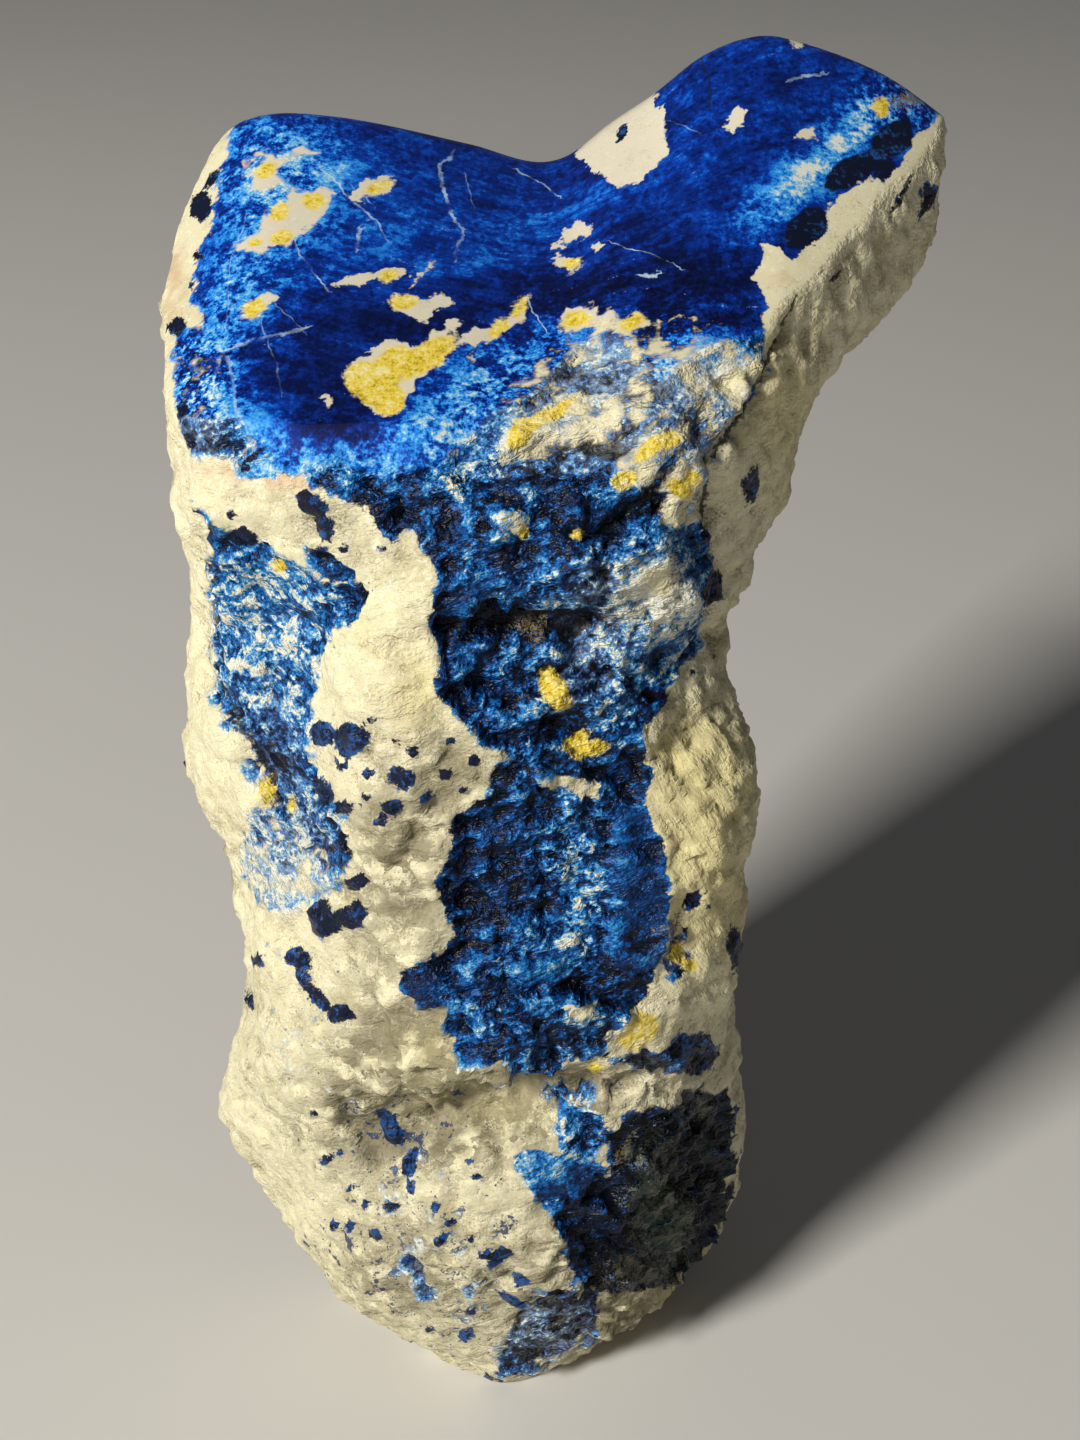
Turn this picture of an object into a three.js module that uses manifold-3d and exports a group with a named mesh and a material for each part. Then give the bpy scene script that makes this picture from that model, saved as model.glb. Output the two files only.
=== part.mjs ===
// A standing piece of rough lapis lazuli: a column of pale calcite seamed with blue, its top ground and
// polished into a saddle that rises to a horn on the right. It is one solid stone.
// Millimetres, +Z up, +X right, -Y towards the viewer. The origin is the middle of the flat foot.
import * as THREE from "three";
import { ImprovedNoise } from "three/addons/math/ImprovedNoise.js";
import { mergeVertices } from "three/addons/utils/BufferGeometryUtils.js";
import Module from "manifold-3d";

const wasm = await Module();
wasm.setup();

// Driving sizes.
const BODY_TOP = 222; // the rough body runs on past the polish, which cuts it off
const CUT_TOP = 242; // above the whole body
const POLISH_AREA = { width: 150, depth: 110, x: 10, y: 5 }; // the sheet that cuts the polished top
const LAPIS_BLUE = 0x1c3f94;

// The grids of points on the rough body and the polish, and how far the points stray from the first.
const ROWS = 54;
const COLUMNS = 76;
const POLISH_COLUMNS = 44;
const POLISH_ROWS = 32;
const HEIGHT_STRAY = 1.2;
const ANGLE_STRAY = 0.018;

// How finely the ribs' outline is worked out, and how closely the surface is found.
const RIB_TENSION = 0.4;
const OUTLINE_STEPS = 96;
const LENGTH_STEPS = 384;
const MARCH_STEP = 2;
const HALVINGS = 24;

// The stone's upright lines, from the foot to above the polished top: [height, x, y].
const RIBS = {
  left: [
    [-10, -18, 0], [0, -24, 0], [10, -31, 0], [18, -36.5, 0], [34, -43, 0], [47, -44.5, 0], [66, -39.5, 0],
    [92, -39.5, 0], [100, -41, 6], [106, -47, 10], [126, -45, 10], [148, -43.5, 10], [177, -43, 5],
    [192, -44, 12], [215, -43, 20],
  ],
  frontLeft: [
    [-10, -9, -9], [0, -12, -12.5], [15, -25, -17], [35, -34, -20], [55, -34, -22], [80, -30, -24],
    [105, -28, -24], [119, -29, -23], [128, -31, -22], [142, -34, -21], [170, -36.5, -22], [190, -38, -20],
    [215, -38, -19],
  ],
  front: [
    [-10, 2, -15], [0, 2, -21], [12, 2, -26], [30, 2, -31], [48, 1, -33], [64, 0, -32], [80, 0, -36],
    [105, 0, -35], [135, 0, -33], [170, 0, -32], [215, 0, -30],
  ],
  frontRight: [
    [-10, 11, -9], [0, 15, -11.5], [15, 26, -19], [35, 33, -25], [80, 32, -27], [105, 31, -26],
    [134, 34, -22], [158, 34, -25], [171, 34, -21], [187, 43, -6], [215, 48, 2],
  ],
  right: [
    [-10, 20, 1], [0, 25, 2], [8, 35, 1], [15, 40.5, 0], [35, 42, 0], [52, 41.5, 0], [66, 39.5, 0],
    [84, 37.5, -2], [105, 38, -4], [120, 37, -4], [134, 34, -4], [146, 39, 6], [152, 44, 12], [167, 50, 18],
    [181, 63, 24], [195, 66, 28], [215, 65, 30],
  ],
  backRight: [
    [-10, 14, 12], [0, 18, 16], [15, 32, 20], [35, 35, 24], [105, 33, 24], [134, 32, 22], [167, 49, 31],
    [181, 58, 35], [215, 60, 38],
  ],
  back: [[-10, 0, 15], [0, 0, 20], [15, 0, 25], [35, 0, 29], [105, 0, 31], [167, 2, 33], [215, 4, 34]],
  backLeft: [
    [-10, -14, 10], [0, -18, 13], [15, -26, 18], [35, -34, 22], [105, -34, 26], [150, -37, 28],
    [215, -34, 31],
  ],
};

// The centre line: [height, x, y].
const CENTRE = [
  [-10, 0, 0], [0, 0, 0], [60, -1, 0], [130, -1, 2], [160, 3, 4], [180, 10, 9], [195, 24, 18],
  [208, 36, 25], [222, 40, 27],
];

// The polished top: where its back ridge runs, the ridge's height along x, how fast the polish falls
// towards the viewer along x, and how fast it rolls down behind the ridge.
const RIDGE_Y = 30;
const RIDGE_ROUND = 5;
const BACK_FALL = 1.1;
const RIDGE_HEIGHT = [
  [-52, 187], [-44, 194.6], [-34, 202], [-22, 202.6], [-2, 198.6], [7, 196.1], [12, 197], [18, 201.6],
  [24, 205.6], [31, 211], [38.5, 213.6], [45, 212.6], [56, 208.6], [64, 203.6], [74, 196],
];
const RIDGE_FALL = [
  [-50, 0.45], [-35, 0.49], [-15, 0.45], [0, 0.39], [11, 0.34], [25, 0.5], [38, 0.72], [66, 0.85],
];

// Flat breaks across the rough sides: a point on each, the way it faces, and the heights (floor, ceiling)
// or the x (right) past which it dies away.
const BREAKS = [
  { name: "lower left", at: [-46.2, -0.7, 47.3], facing: [-0.734, -0.655, -0.184] },
  { name: "lower right", at: [24.2, -33, 70], facing: [0.79, -0.6, -0.13], ceiling: 100 },
  { name: "horn side", at: [49.8, 4, 191.5], facing: [0.825, -0.563, 0.06], floor: 160 },
  { name: "under the horn", at: [32.5, -21, 171], facing: [0.8, -0.56, -0.2], floor: 140 },
  { name: "rough shoulder", at: [0, -20.5, 178], facing: [0.122, -0.645, 0.755], right: 13 },
  { name: "back of the horn", at: [48, 34, 178], facing: [0.3, 0.93, -0.2], floor: 120 },
  { name: "upper back left", at: [-35, 30, 150], facing: [-0.6, 0.8, -0.06], floor: 96 },
  { name: "lower back right", at: [30, 25, 60], facing: [0.66, 0.75, -0.04], ceiling: 104 },
  { name: "heel", at: [0, 24, 22], facing: [-0.12, 0.88, -0.46] },
];
const BREAK_ROUND = 2.5;
const BREAK_FADE = 0.6; // how fast a break dies away

// Swellings (push above 0) and hollows (below 0) in the rough sides: middle, half-sizes and push.
const SWELLS = [
  { name: "left channel, upper", at: [-26, -28, 143], size: [7, 12, 18], push: -3.2 },
  { name: "left channel, lower", at: [-24, -28, 112], size: [7, 12, 22], push: -2.6 },
  { name: "pale rib", at: [-12, -35, 132], size: [9, 12, 26], push: 2.4 },
  { name: "blue seam, hollow", at: [8, -35, 140], size: [13, 12, 13], push: -2.2 },
  { name: "swirl pit", at: [15, -33, 146], size: [5, 10, 5], push: -1.8 },
  { name: "belly", at: [3, -38, 91], size: [20, 14, 14], push: 3.6 },
  { name: "belly's left lobe", at: [-7, -38, 97], size: [8, 12, 7], push: 1.6 },
  { name: "hollow under the belly", at: [-8, -36, 69], size: [13, 12, 7], push: -3.2 },
  { name: "pit beside the knob", at: [-17, -31, 62], size: [5, 10, 7], push: -2.2 },
  { name: "front knob", at: [-1, -33, 44], size: [17, 13, 15], push: 3.4 },
  { name: "knob's lip", at: [1, -34, 62], size: [12, 10, 4.5], push: 1.6 },
  { name: "pale right bulge", at: [34, -18, 116], size: [9, 14, 13], push: 2.2 },
  { name: "lower pale right bulge", at: [36, -14, 92], size: [9, 14, 9], push: 1.4 },
  { name: "right notch", at: [37, -8, 70], size: [9, 14, 7], push: -1.4 },
  { name: "navy knob on the right edge", at: [30, -24, 152], size: [5, 7, 6], push: 1.8 },
  { name: "back hollow", at: [6, 33, 118], size: [20, 14, 24], push: -3.4 },
  { name: "back boss", at: [-12, 32, 72], size: [16, 12, 14], push: 2.6 },
];

// Steps in the rough sides, proud above a line and set back below it: a point on the line, how steeply it
// climbs along x, half-sizes and push.
const LEDGES = [
  { name: "over the blue seam", at: [10, -34, 155], climb: 0.26, size: [17, 14, 10], push: 1.5 },
  { name: "under the belly", at: [-1, -37, 74], climb: 0.45, size: [15, 14, 11], push: 2.2 },
  { name: "across the shoulder", at: [20, -26, 170], climb: 0.5, size: [16, 14, 9], push: 1.1 },
  { name: "below the swirl", at: [14, -34, 127], climb: 0.7, size: [12, 12, 8], push: 1.2 },
  { name: "left foot", at: [-12, -30, 36], climb: -0.6, size: [14, 12, 8], push: -1.3 },
  { name: "back", at: [4, 32, 134], climb: -0.35, size: [26, 14, 14], push: 2 },
  { name: "lower back", at: [-6, 30, 48], climb: 0.3, size: [24, 14, 12], push: 1.6 },
];
const LEDGE_WIDTH = 1.8;
const LEDGE_WANDER = 4; // how far a ledge's line wanders up and down
const LEDGE_WANDER_SCALE = 18;

// The grain of the rough sides: soft lumps, creases between them, and slanting folds on the upper front.
const LUMP_SCALE = 30;
const LUMP_PUSH = 1.7;
const CREASE_SCALE = 16;
const CREASE_PUSH = 2;
const CREASE_LEVEL = 0.28; // the creases' middle depth, so that they don't swell the stone
const FOLDS = { at: [6, -32, 150], size: [30, 18, 24] };
const FOLD_SLANT = 0.644; // radians above level
const FOLD_LENGTH = 3; // how much longer a fold is than it is wide
const FOLD_SCALE = 10;
const FOLD_PUSH = 1.6;

// The noise's own settings: its gain, and shifts that keep its layers and its uses apart.
const NOISE_GAIN = 1.6;
const LAYER_SHIFT = 7.3;
const CREASE_SHIFT = 40;
const WANDER_SHIFT = 20;
const STRAY_SHIFT = 9;
const STRAY_SPREAD = 2.15;

// Value of a smooth line through the points [[t, value, ...], ...] at t, held level past its ends.
function along(points, t, column = 1) {
  const last = points.length - 1;
  if (t <= points[0][0]) return points[0][column];
  if (t >= points[last][0]) return points[last][column];
  let i = 0;
  while (t > points[i + 1][0]) i++;
  const slope = (a, b) => (points[b][column] - points[a][column]) / (points[b][0] - points[a][0]);
  const tangent = (k) => slope(Math.max(k - 1, 0), Math.min(k + 1, last));
  const span = points[i + 1][0] - points[i][0];
  const s = (t - points[i][0]) / span;
  const rest = 1 - s;
  return (
    rest * rest * (1 + 2 * s) * points[i][column] +
    s * s * (3 - 2 * s) * points[i + 1][column] +
    span * s * rest * (rest * tangent(i) - s * tangent(i + 1))
  );
}

function centreAt(height) {
  return new THREE.Vector3(along(CENTRE, height, 1), along(CENTRE, height, 2), height);
}

// The larger of a and b, rounded where they meet.
function roundedMax(a, b, round) {
  const blend = Math.max(round - Math.abs(a - b), 0) / round;
  return Math.max(a, b) + (blend * blend * round) / 4;
}

// The ribs' outline at one height, as [angle, distance from the centre line], from -PI to past PI.
function outlineAt(height) {
  const centre = centreAt(height);
  const corners = Object.values(RIBS).map(
    (rib) => new THREE.Vector3(along(rib, height, 1), along(rib, height, 2), height).sub(centre),
  );
  const loop = new THREE.CatmullRomCurve3(corners, true, "catmullrom", RIB_TENSION);
  const ring = loop.getPoints(OUTLINE_STEPS).slice(0, -1).map((p) => [Math.atan2(p.y, p.x), p.length()]);
  ring.sort((a, b) => a[0] - b[0]);
  const [first, last] = [ring[0], ring[ring.length - 1]];
  return [[last[0] - 2 * Math.PI, last[1]], ...ring, [first[0] + 2 * Math.PI, first[1]]];
}

// How far an outline is from the centre line in this direction.
function outlineReach(outline, angle) {
  return along(outline, Math.atan2(Math.sin(angle), Math.cos(angle)));
}

function outlinePoint(outline, angle) {
  return new THREE.Vector2(Math.cos(angle), Math.sin(angle)).multiplyScalar(outlineReach(outline, angle));
}

// Angles that part an outline into COLUMNS equal lengths, starting from +X.
function evenAngles(outline) {
  const way = [[0, 0]];
  let length = 0;
  let before = outlinePoint(outline, 0);
  for (let step = 1; step <= LENGTH_STEPS; step++) {
    const angle = (step / LENGTH_STEPS) * 2 * Math.PI;
    const point = outlinePoint(outline, angle);
    length += point.distanceTo(before);
    way.push([length, angle]);
    before = point;
  }
  return Array.from({ length: COLUMNS }, (_, k) => along(way, (k / COLUMNS) * length));
}

const noise = new ImprovedNoise();

// Layered noise, about -1 to 1, whose largest lumps are scale millimetres across.
function lumps(x, y, z, scale, layers) {
  let total = 0;
  let weight = 0;
  for (let layer = 0; layer < layers; layer++) {
    const fine = 2 ** layer / scale;
    total += noise.noise(x * fine + LAYER_SHIFT * layer, y * fine, z * fine) / 2 ** layer;
    weight += 1 / 2 ** layer;
  }
  return (NOISE_GAIN * total) / weight;
}

// How much a feature counts at this point: 1 at its middle, fading over its half-sizes.
function nearness({ at, size }, x, y, z) {
  return Math.exp(
    -(((x - at[0]) / size[0]) ** 2) - ((y - at[1]) / size[1]) ** 2 - ((z - at[2]) / size[2]) ** 2,
  );
}

// How far the rough surface stands out from the ribs' smooth form.
function relief(x, y, z) {
  let push = LUMP_PUSH * lumps(x, y, z, LUMP_SCALE, 2);
  push += CREASE_PUSH * (CREASE_LEVEL - Math.abs(lumps(x + CREASE_SHIFT, y, z, CREASE_SCALE, 2)));
  const alongFolds = x * Math.cos(FOLD_SLANT) + z * Math.sin(FOLD_SLANT);
  const acrossFolds = z * Math.cos(FOLD_SLANT) - x * Math.sin(FOLD_SLANT);
  const fold = lumps(alongFolds / FOLD_LENGTH, y, acrossFolds, FOLD_SCALE, 1);
  push += FOLD_PUSH * fold * nearness(FOLDS, x, y, z);
  for (const swell of SWELLS) push += swell.push * nearness(swell, x, y, z);
  const wander = LEDGE_WANDER * lumps(x, y - WANDER_SHIFT, z, LEDGE_WANDER_SCALE, 2);
  for (const ledge of LEDGES) {
    const above = z - ledge.at[2] - ledge.climb * (x - ledge.at[0]) + wander;
    push += ledge.push * Math.tanh(above / LEDGE_WIDTH) * nearness(ledge, x, y, z);
  }
  return push;
}

// Height of the polished top: it falls towards the viewer from its ridge, and rolls down behind it.
function polishedHeight(x, y) {
  const ahead = RIDGE_Y - y;
  const drop = roundedMax(along(RIDGE_FALL, x) * ahead, -BACK_FALL * ahead, RIDGE_ROUND);
  return along(RIDGE_HEIGHT, x) - drop;
}

// How far beyond the rough surface a point is, given how far it is beyond the ribs' form: below 0 inside.
function beyondRough(x, y, z, fromRibs) {
  let beyond = fromRibs;
  for (const { at, facing, floor = z, ceiling = z, right = x } of BREAKS) {
    const past = facing[0] * (x - at[0]) + facing[1] * (y - at[1]) + facing[2] * (z - at[2]);
    const fade = BREAK_FADE * Math.max(floor - z, z - ceiling, x - right, 0);
    beyond = roundedMax(beyond, past - fade, BREAK_ROUND);
  }
  return beyond - relief(x, y, z);
}

// The rough surface's distance from the centre line, at this height and in this direction.
function roughReach(centre, angle, ribReach) {
  const [ahead, aside] = [Math.cos(angle), Math.sin(angle)];
  const isOutside = (reach) =>
    beyondRough(centre.x + reach * ahead, centre.y + reach * aside, centre.z, reach - ribReach) > 0;
  let near = 0;
  let far = MARCH_STEP;
  while (!isOutside(far)) {
    near = far;
    far += MARCH_STEP;
  }
  for (let halving = 0; halving < HALVINGS; halving++) {
    const middle = (near + far) / 2;
    if (isOutside(middle)) far = middle;
    else near = middle;
  }
  return near;
}

// A closed geometry as a manifold solid.
function solidOf(geometry) {
  geometry.deleteAttribute("normal");
  geometry.deleteAttribute("uv");
  const merged = mergeVertices(geometry);
  const vertProperties = new Float32Array(merged.getAttribute("position").array);
  const triVerts = new Uint32Array(merged.getIndex().array);
  return new wasm.Manifold(new wasm.Mesh({ numProp: 3, vertProperties, triVerts }));
}

// Splits each of a cylinder's side panels across its shorter diagonal.
function shortenDiagonals(cylinder) {
  const positions = cylinder.getAttribute("position");
  const index = cylinder.getIndex();
  const pointAt = (i) => new THREE.Vector3().fromBufferAttribute(positions, i);
  const length = (i, k) => pointAt(i).distanceTo(pointAt(k));
  for (let corner = 0; corner < ROWS * COLUMNS * 6; corner += 6) {
    const [a, b, c, d] = [corner, corner + 1, corner + 4, corner + 2].map((k) => index.getX(k));
    if (length(a, c) < length(b, d)) {
      [a, b, c, a, c, d].forEach((vertex, k) => index.setX(corner + k, vertex));
    }
  }
}

// The rough surface's point for one row and column of the grid, at about this height and angle.
function bodyPoint(row, column, height, evenAngle) {
  const isEnd = row === 0 || row === ROWS;
  const [across, up] = [column * STRAY_SPREAD, row * STRAY_SPREAD];
  const upStray = isEnd ? 0 : HEIGHT_STRAY * lumps(across, up, 0, 1, 1);
  const roundStray = ANGLE_STRAY * lumps(across, up, STRAY_SHIFT, 1, 1);
  const centre = centreAt(height + upStray);
  const angle = evenAngle + roundStray;
  const reach = roughReach(centre, angle, outlineReach(outlineAt(centre.z), angle));
  return new THREE.Vector3(reach * Math.cos(angle), reach * Math.sin(angle), 0).add(centre);
}

// The rough body: a cylinder's grid of points, each carried out to the rough surface at its height.
function roughBody() {
  const cylinder = new THREE.CylinderGeometry(1, 1, BODY_TOP, COLUMNS, ROWS);
  cylinder.rotateX(Math.PI / 2).translate(0, 0, BODY_TOP / 2);
  const heights = Array.from({ length: ROWS + 1 }, (_, row) => (row / ROWS) * BODY_TOP);
  const rings = heights.map((height, row) =>
    evenAngles(outlineAt(height)).map((angle, column) => bodyPoint(row, column, height, angle)),
  );
  const positions = cylinder.getAttribute("position");
  for (let i = 0; i < positions.count; i++) {
    const [x, y, z] = [positions.getX(i), positions.getY(i), positions.getZ(i)];
    const row = Math.round((z / BODY_TOP) * ROWS);
    const column = Math.round((Math.atan2(y, x) / (2 * Math.PI) + 1) * COLUMNS) % COLUMNS;
    const isCapMiddle = Math.hypot(x, y) < 0.5;
    const place = isCapMiddle ? centreAt(heights[row]) : rings[row][column];
    positions.setXYZ(i, place.x, place.y, place.z);
  }
  shortenDiagonals(cylinder);
  return solidOf(cylinder);
}

// Everything above the polished top: a block whose underside is the polished surface.
function abovePolish() {
  const { width, depth, x: middleX, y: middleY } = POLISH_AREA;
  const block = new THREE.BoxGeometry(width, depth, BODY_TOP, POLISH_COLUMNS, POLISH_ROWS, 1);
  block.translate(middleX, middleY, 0);
  const positions = block.getAttribute("position");
  for (let i = 0; i < positions.count; i++) {
    const [x, y, z] = [positions.getX(i), positions.getY(i), positions.getZ(i)];
    positions.setZ(i, z > 0 ? CUT_TOP : polishedHeight(x, y));
  }
  return solidOf(block);
}

// The rough body with its top cut to the polish.
function stoneGeometry() {
  const cut = roughBody().subtract(abovePolish()).getMesh();
  const geometry = new THREE.BufferGeometry();
  geometry.setAttribute("position", new THREE.BufferAttribute(cut.vertProperties, 3));
  geometry.setIndex(new THREE.BufferAttribute(cut.triVerts, 1));
  geometry.computeVertexNormals();
  return geometry;
}

const stone = new THREE.Mesh(
  stoneGeometry(),
  new THREE.MeshStandardMaterial({ color: LAPIS_BLUE, roughness: 0.6, metalness: 0 }),
);
stone.name = "stone";

const part = new THREE.Group();
part.add(stone);

export default part;
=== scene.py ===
"""Rough lapis lazuli: a standing column of pale calcite seamed with blue, its top ground and polished.

Laid out as an add-on and run as a script. Metres, +Z up, -Y towards the viewer; sizes inside the functions
are in millimetres until the mesh is written.
"""

import math

import bmesh
import bpy
import numpy as np
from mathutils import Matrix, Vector, noise


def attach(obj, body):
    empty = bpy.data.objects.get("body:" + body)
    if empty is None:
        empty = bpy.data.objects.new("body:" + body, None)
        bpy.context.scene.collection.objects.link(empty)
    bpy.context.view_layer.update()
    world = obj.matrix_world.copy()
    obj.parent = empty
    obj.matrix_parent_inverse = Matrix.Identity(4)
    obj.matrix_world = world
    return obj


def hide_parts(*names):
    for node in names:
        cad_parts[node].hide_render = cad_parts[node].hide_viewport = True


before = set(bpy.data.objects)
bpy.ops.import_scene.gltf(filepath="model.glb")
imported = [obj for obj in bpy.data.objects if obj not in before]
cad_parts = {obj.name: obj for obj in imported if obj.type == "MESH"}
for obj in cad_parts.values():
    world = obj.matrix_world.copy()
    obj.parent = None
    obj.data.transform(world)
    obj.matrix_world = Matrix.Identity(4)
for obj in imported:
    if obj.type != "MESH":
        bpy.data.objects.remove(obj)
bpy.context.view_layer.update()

bl_info = {
    "name": "Rough lapis lazuli",
    "version": (1, 0, 0),
    "blender": (4, 5, 0),
    "location": "View3D > Sidebar > Stone",
    "description": "Builds a partly polished piece of rough lapis lazuli and a plain stage for it",
    "category": "Add Mesh",
}

STONE_NODE = "stone"
STONE_PIECE = "lapis_stone"
MM = 0.001

# ---------------------------------------------------------------------------------------------------------
# The polished top, as the solid has it: where its back ridge runs, how wide it is rounded, how fast the
# polish rolls down behind it, its height along x, and how fast the polish falls to the front along x.
RIDGE_Y = 30.0
RIDGE_ROUND = 5.0
BACK_FALL = 1.1
RIDGE_HEIGHT = (
    (-52, 187), (-44, 194.6), (-34, 202), (-22, 202.6), (-2, 198.6), (7, 196.1), (12, 197), (18, 201.6),
    (24, 205.6), (31, 211), (38.5, 213.6), (45, 212.6), (56, 208.6), (64, 203.6), (74, 196),
)
RIDGE_FALL = (
    (-50, 0.45), (-35, 0.49), (-15, 0.45), (0, 0.39), (11, 0.34), (25, 0.5), (38, 0.72), (66, 0.85),
)

# ---------------------------------------------------------------------------------------------------------
# The marks on the front are laid out on a sheet held square to the eye, 300 mm from it. Across and down the
# sheet from its top left corner, in steps of 0.15 mm; the eye looks down at the stone by 30 degrees.
EYE = Vector((8.0, -259.8, 269.3))
EYE_TILT = math.radians(30)
SHEET_DISTANCE = 300.0
SHEET_STEP = 0.15
SHEET_MIDDLE = (540, 720)

# The blue of the polished top, down to where it fades over the rim.
BLUE_TOP = (
    (225, 90), (340, 98), (470, 120), (555, 140), (600, 105), (700, 35), (760, 10), (810, 20), (960, 80),
    (945, 100), (906, 150), (883, 183), (869, 177), (827, 202), (824, 233), (793, 261), (762, 244),
    (754, 278), (764, 303), (752, 345), (700, 318), (640, 322), (600, 318), (566, 338), (536, 360),
    (504, 402), (450, 462), (385, 482), (330, 462), (290, 478), (236, 476), (233, 462), (255, 452),
    (238, 420), (234, 392), (228, 352), (205, 330), (193, 300), (197, 254), (204, 243), (209, 224),
    (216, 190), (219, 163), (234, 138),
)

# Blue ground: (how solid it is, in mm of depth, then its outline). Below about 1 it mingles with the pale.
BLUE_GROUND = (
    # mottled left edge of the polish
    (1.2, (175, 325), (232, 330), (236, 360), (240, 420), (256, 452), (225, 462), (185, 450), (176, 390)),
    # rough shoulder under the polish
    (0.6, (500, 392), (522, 345), (560, 328), (650, 322), (700, 318), (765, 335), (768, 372), (742, 420),
     (716, 455), (712, 500), (640, 520), (560, 512), (505, 470), (480, 430)),
    # steel blue across the upper front
    (0.9, (300, 466), (345, 452), (400, 440), (446, 436), (440, 470), (400, 504), (366, 508), (338, 498),
     (310, 484)),
    (1.3, (450, 470), (500, 455), (545, 462), (580, 440), (622, 436), (640, 478), (668, 510), (662, 545),
     (618, 575), (560, 560), (515, 530), (470, 560), (440, 585), (425, 548), (440, 520), (420, 500)),
    (0.9, (398, 452), (446, 436), (480, 404), (515, 395), (510, 460), (470, 520), (420, 545), (395, 500)),
    (1.2, (366, 505), (384, 494), (424, 500), (446, 512), (420, 528), (388, 541), (370, 522)),
    # the seam, upper part
    (3, (436, 583), (452, 556), (500, 532), (560, 546), (610, 566), (622, 590), (600, 640), (640, 668),
     (664, 695), (655, 718), (640, 760), (600, 770), (560, 752), (520, 762), (502, 749), (482, 745),
     (469, 722), (441, 702), (433, 676), (438, 646), (431, 617)),
    (0.7, (600, 560), (652, 528), (712, 520), (716, 560), (700, 600), (690, 660), (664, 690), (620, 690),
     (598, 650)),
    # the seam, lower part
    (3, (498, 760), (560, 752), (622, 742), (650, 770), (646, 811), (660, 845), (667, 890), (664, 935),
     (652, 990), (628, 1016), (606, 1040), (606, 1057), (569, 1066), (566, 1083), (523, 1083), (503, 1060),
     (465, 1061), (444, 1030), (452, 1008), (432, 1006), (410, 1003), (398, 985), (408, 962), (440, 952),
     (452, 940), (450, 920), (434, 884), (442, 850), (458, 820), (488, 796)),
    # below the seam
    (2, (476, 1088), (488, 1078), (516, 1076), (516, 1084), (492, 1096), (478, 1096)),
    (1.6, (535, 1110), (570, 1100), (596, 1098), (592, 1106), (560, 1112), (540, 1116)),
    (2, (656, 1052), (684, 1034), (708, 1036), (719, 1052), (714, 1076), (690, 1074), (664, 1078),
     (620, 1070), (600, 1060), (625, 1052)),
    (1.5, (556, 1122), (574, 1110), (596, 1116), (604, 1130), (598, 1150), (576, 1156), (560, 1146)),
    (2.4, (506, 1158), (540, 1148), (566, 1156), (600, 1160), (606, 1176), (622, 1184), (612, 1210),
     (622, 1240), (616, 1290), (588, 1296), (572, 1270), (560, 1240), (552, 1208), (536, 1196),
     (524, 1178)),
    # the lower right facet, its blue set near black in the tones: partly navy, partly painted shade
    (1.8, (606, 1126), (650, 1112), (690, 1092), (724, 1086), (738, 1110), (732, 1186), (722, 1244),
     (700, 1270), (660, 1284), (620, 1296), (598, 1300), (604, 1240), (606, 1176)),
    (2, (700, 1212), (716, 1200), (720, 1232), (706, 1262), (696, 1250)),
    # spots and specks low on the front
    (1.4, (399, 1252), (415, 1256), (424, 1276), (436, 1290), (440, 1304), (424, 1302), (408, 1280)),
    (1.2, (458, 1286), (474, 1282), (480, 1292), (464, 1300)),
    (1, (382, 1198), (398, 1200), (400, 1214), (386, 1218)),
    (-0.8, (400, 1150), (448, 1160), (470, 1200), (500, 1250), (530, 1330), (500, 1372), (440, 1340),
     (400, 1290), (372, 1230), (380, 1180)),
    (1.3, (524, 1306), (560, 1284), (600, 1296), (600, 1330), (566, 1352), (530, 1374), (500, 1380),
     (494, 1352)),
    # the fibrous channel down the left
    (1.2, (196, 500), (226, 532), (272, 548), (326, 584), (378, 592), (366, 612), (336, 632), (318, 664),
     (308, 718), (302, 764), (262, 792), (238, 742), (214, 700), (204, 650), (198, 570)),
    (1.2, (238, 738), (302, 744), (332, 792), (350, 842), (354, 862), (322, 858), (296, 850), (262, 812)),
    (0.7, (252, 806), (350, 846), (356, 866), (336, 880), (300, 870), (262, 862), (246, 836)),
    (0.1, (244, 836), (300, 860), (350, 864), (340, 888), (316, 900), (290, 918), (262, 912), (240, 880)),
    (-0.7, (240, 880), (300, 900), (320, 940), (280, 980), (246, 960)),
    (1.2, (305, 550), (326, 548), (350, 566), (352, 580), (378, 590), (366, 600), (338, 584), (308, 568)),
    (1.2, (228, 470), (262, 470), (270, 478), (248, 482), (230, 480)),
    # lower left flecks
    (-0.9, (246, 980), (300, 985), (330, 1060), (360, 1120), (400, 1150), (380, 1200), (330, 1130),
     (270, 1060)),
    # right edge of the front
    (1.4, (681, 612), (697, 604), (700, 640), (694, 668), (682, 660), (676, 634)),
    (1, (683, 890), (694, 888), (702, 902), (688, 906)),
    (0.8, (664, 940), (682, 930), (690, 960), (676, 976), (664, 962)),
    (1.2, (918, 190), (930, 182), (934, 208), (922, 224)),
)

# Broken faces of the blue stone that are smooth and even.
SMOOTH_FACES = (
    ((612, 808), (640, 800), (652, 812), (662, 845), (667, 890), (662, 935), (650, 972), (626, 980),
     (604, 958), (612, 910), (606, 850)),
    ((446, 590), (470, 576), (484, 590), (470, 612), (448, 614)),
    ((512, 960), (548, 952), (572, 972), (556, 990), (520, 984)),
    ((412, 968), (438, 960), (446, 984), (424, 1000), (404, 990)),
    ((510, 1162), (540, 1152), (570, 1158), (600, 1166), (588, 1198), (562, 1204), (536, 1190)),
)

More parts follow.
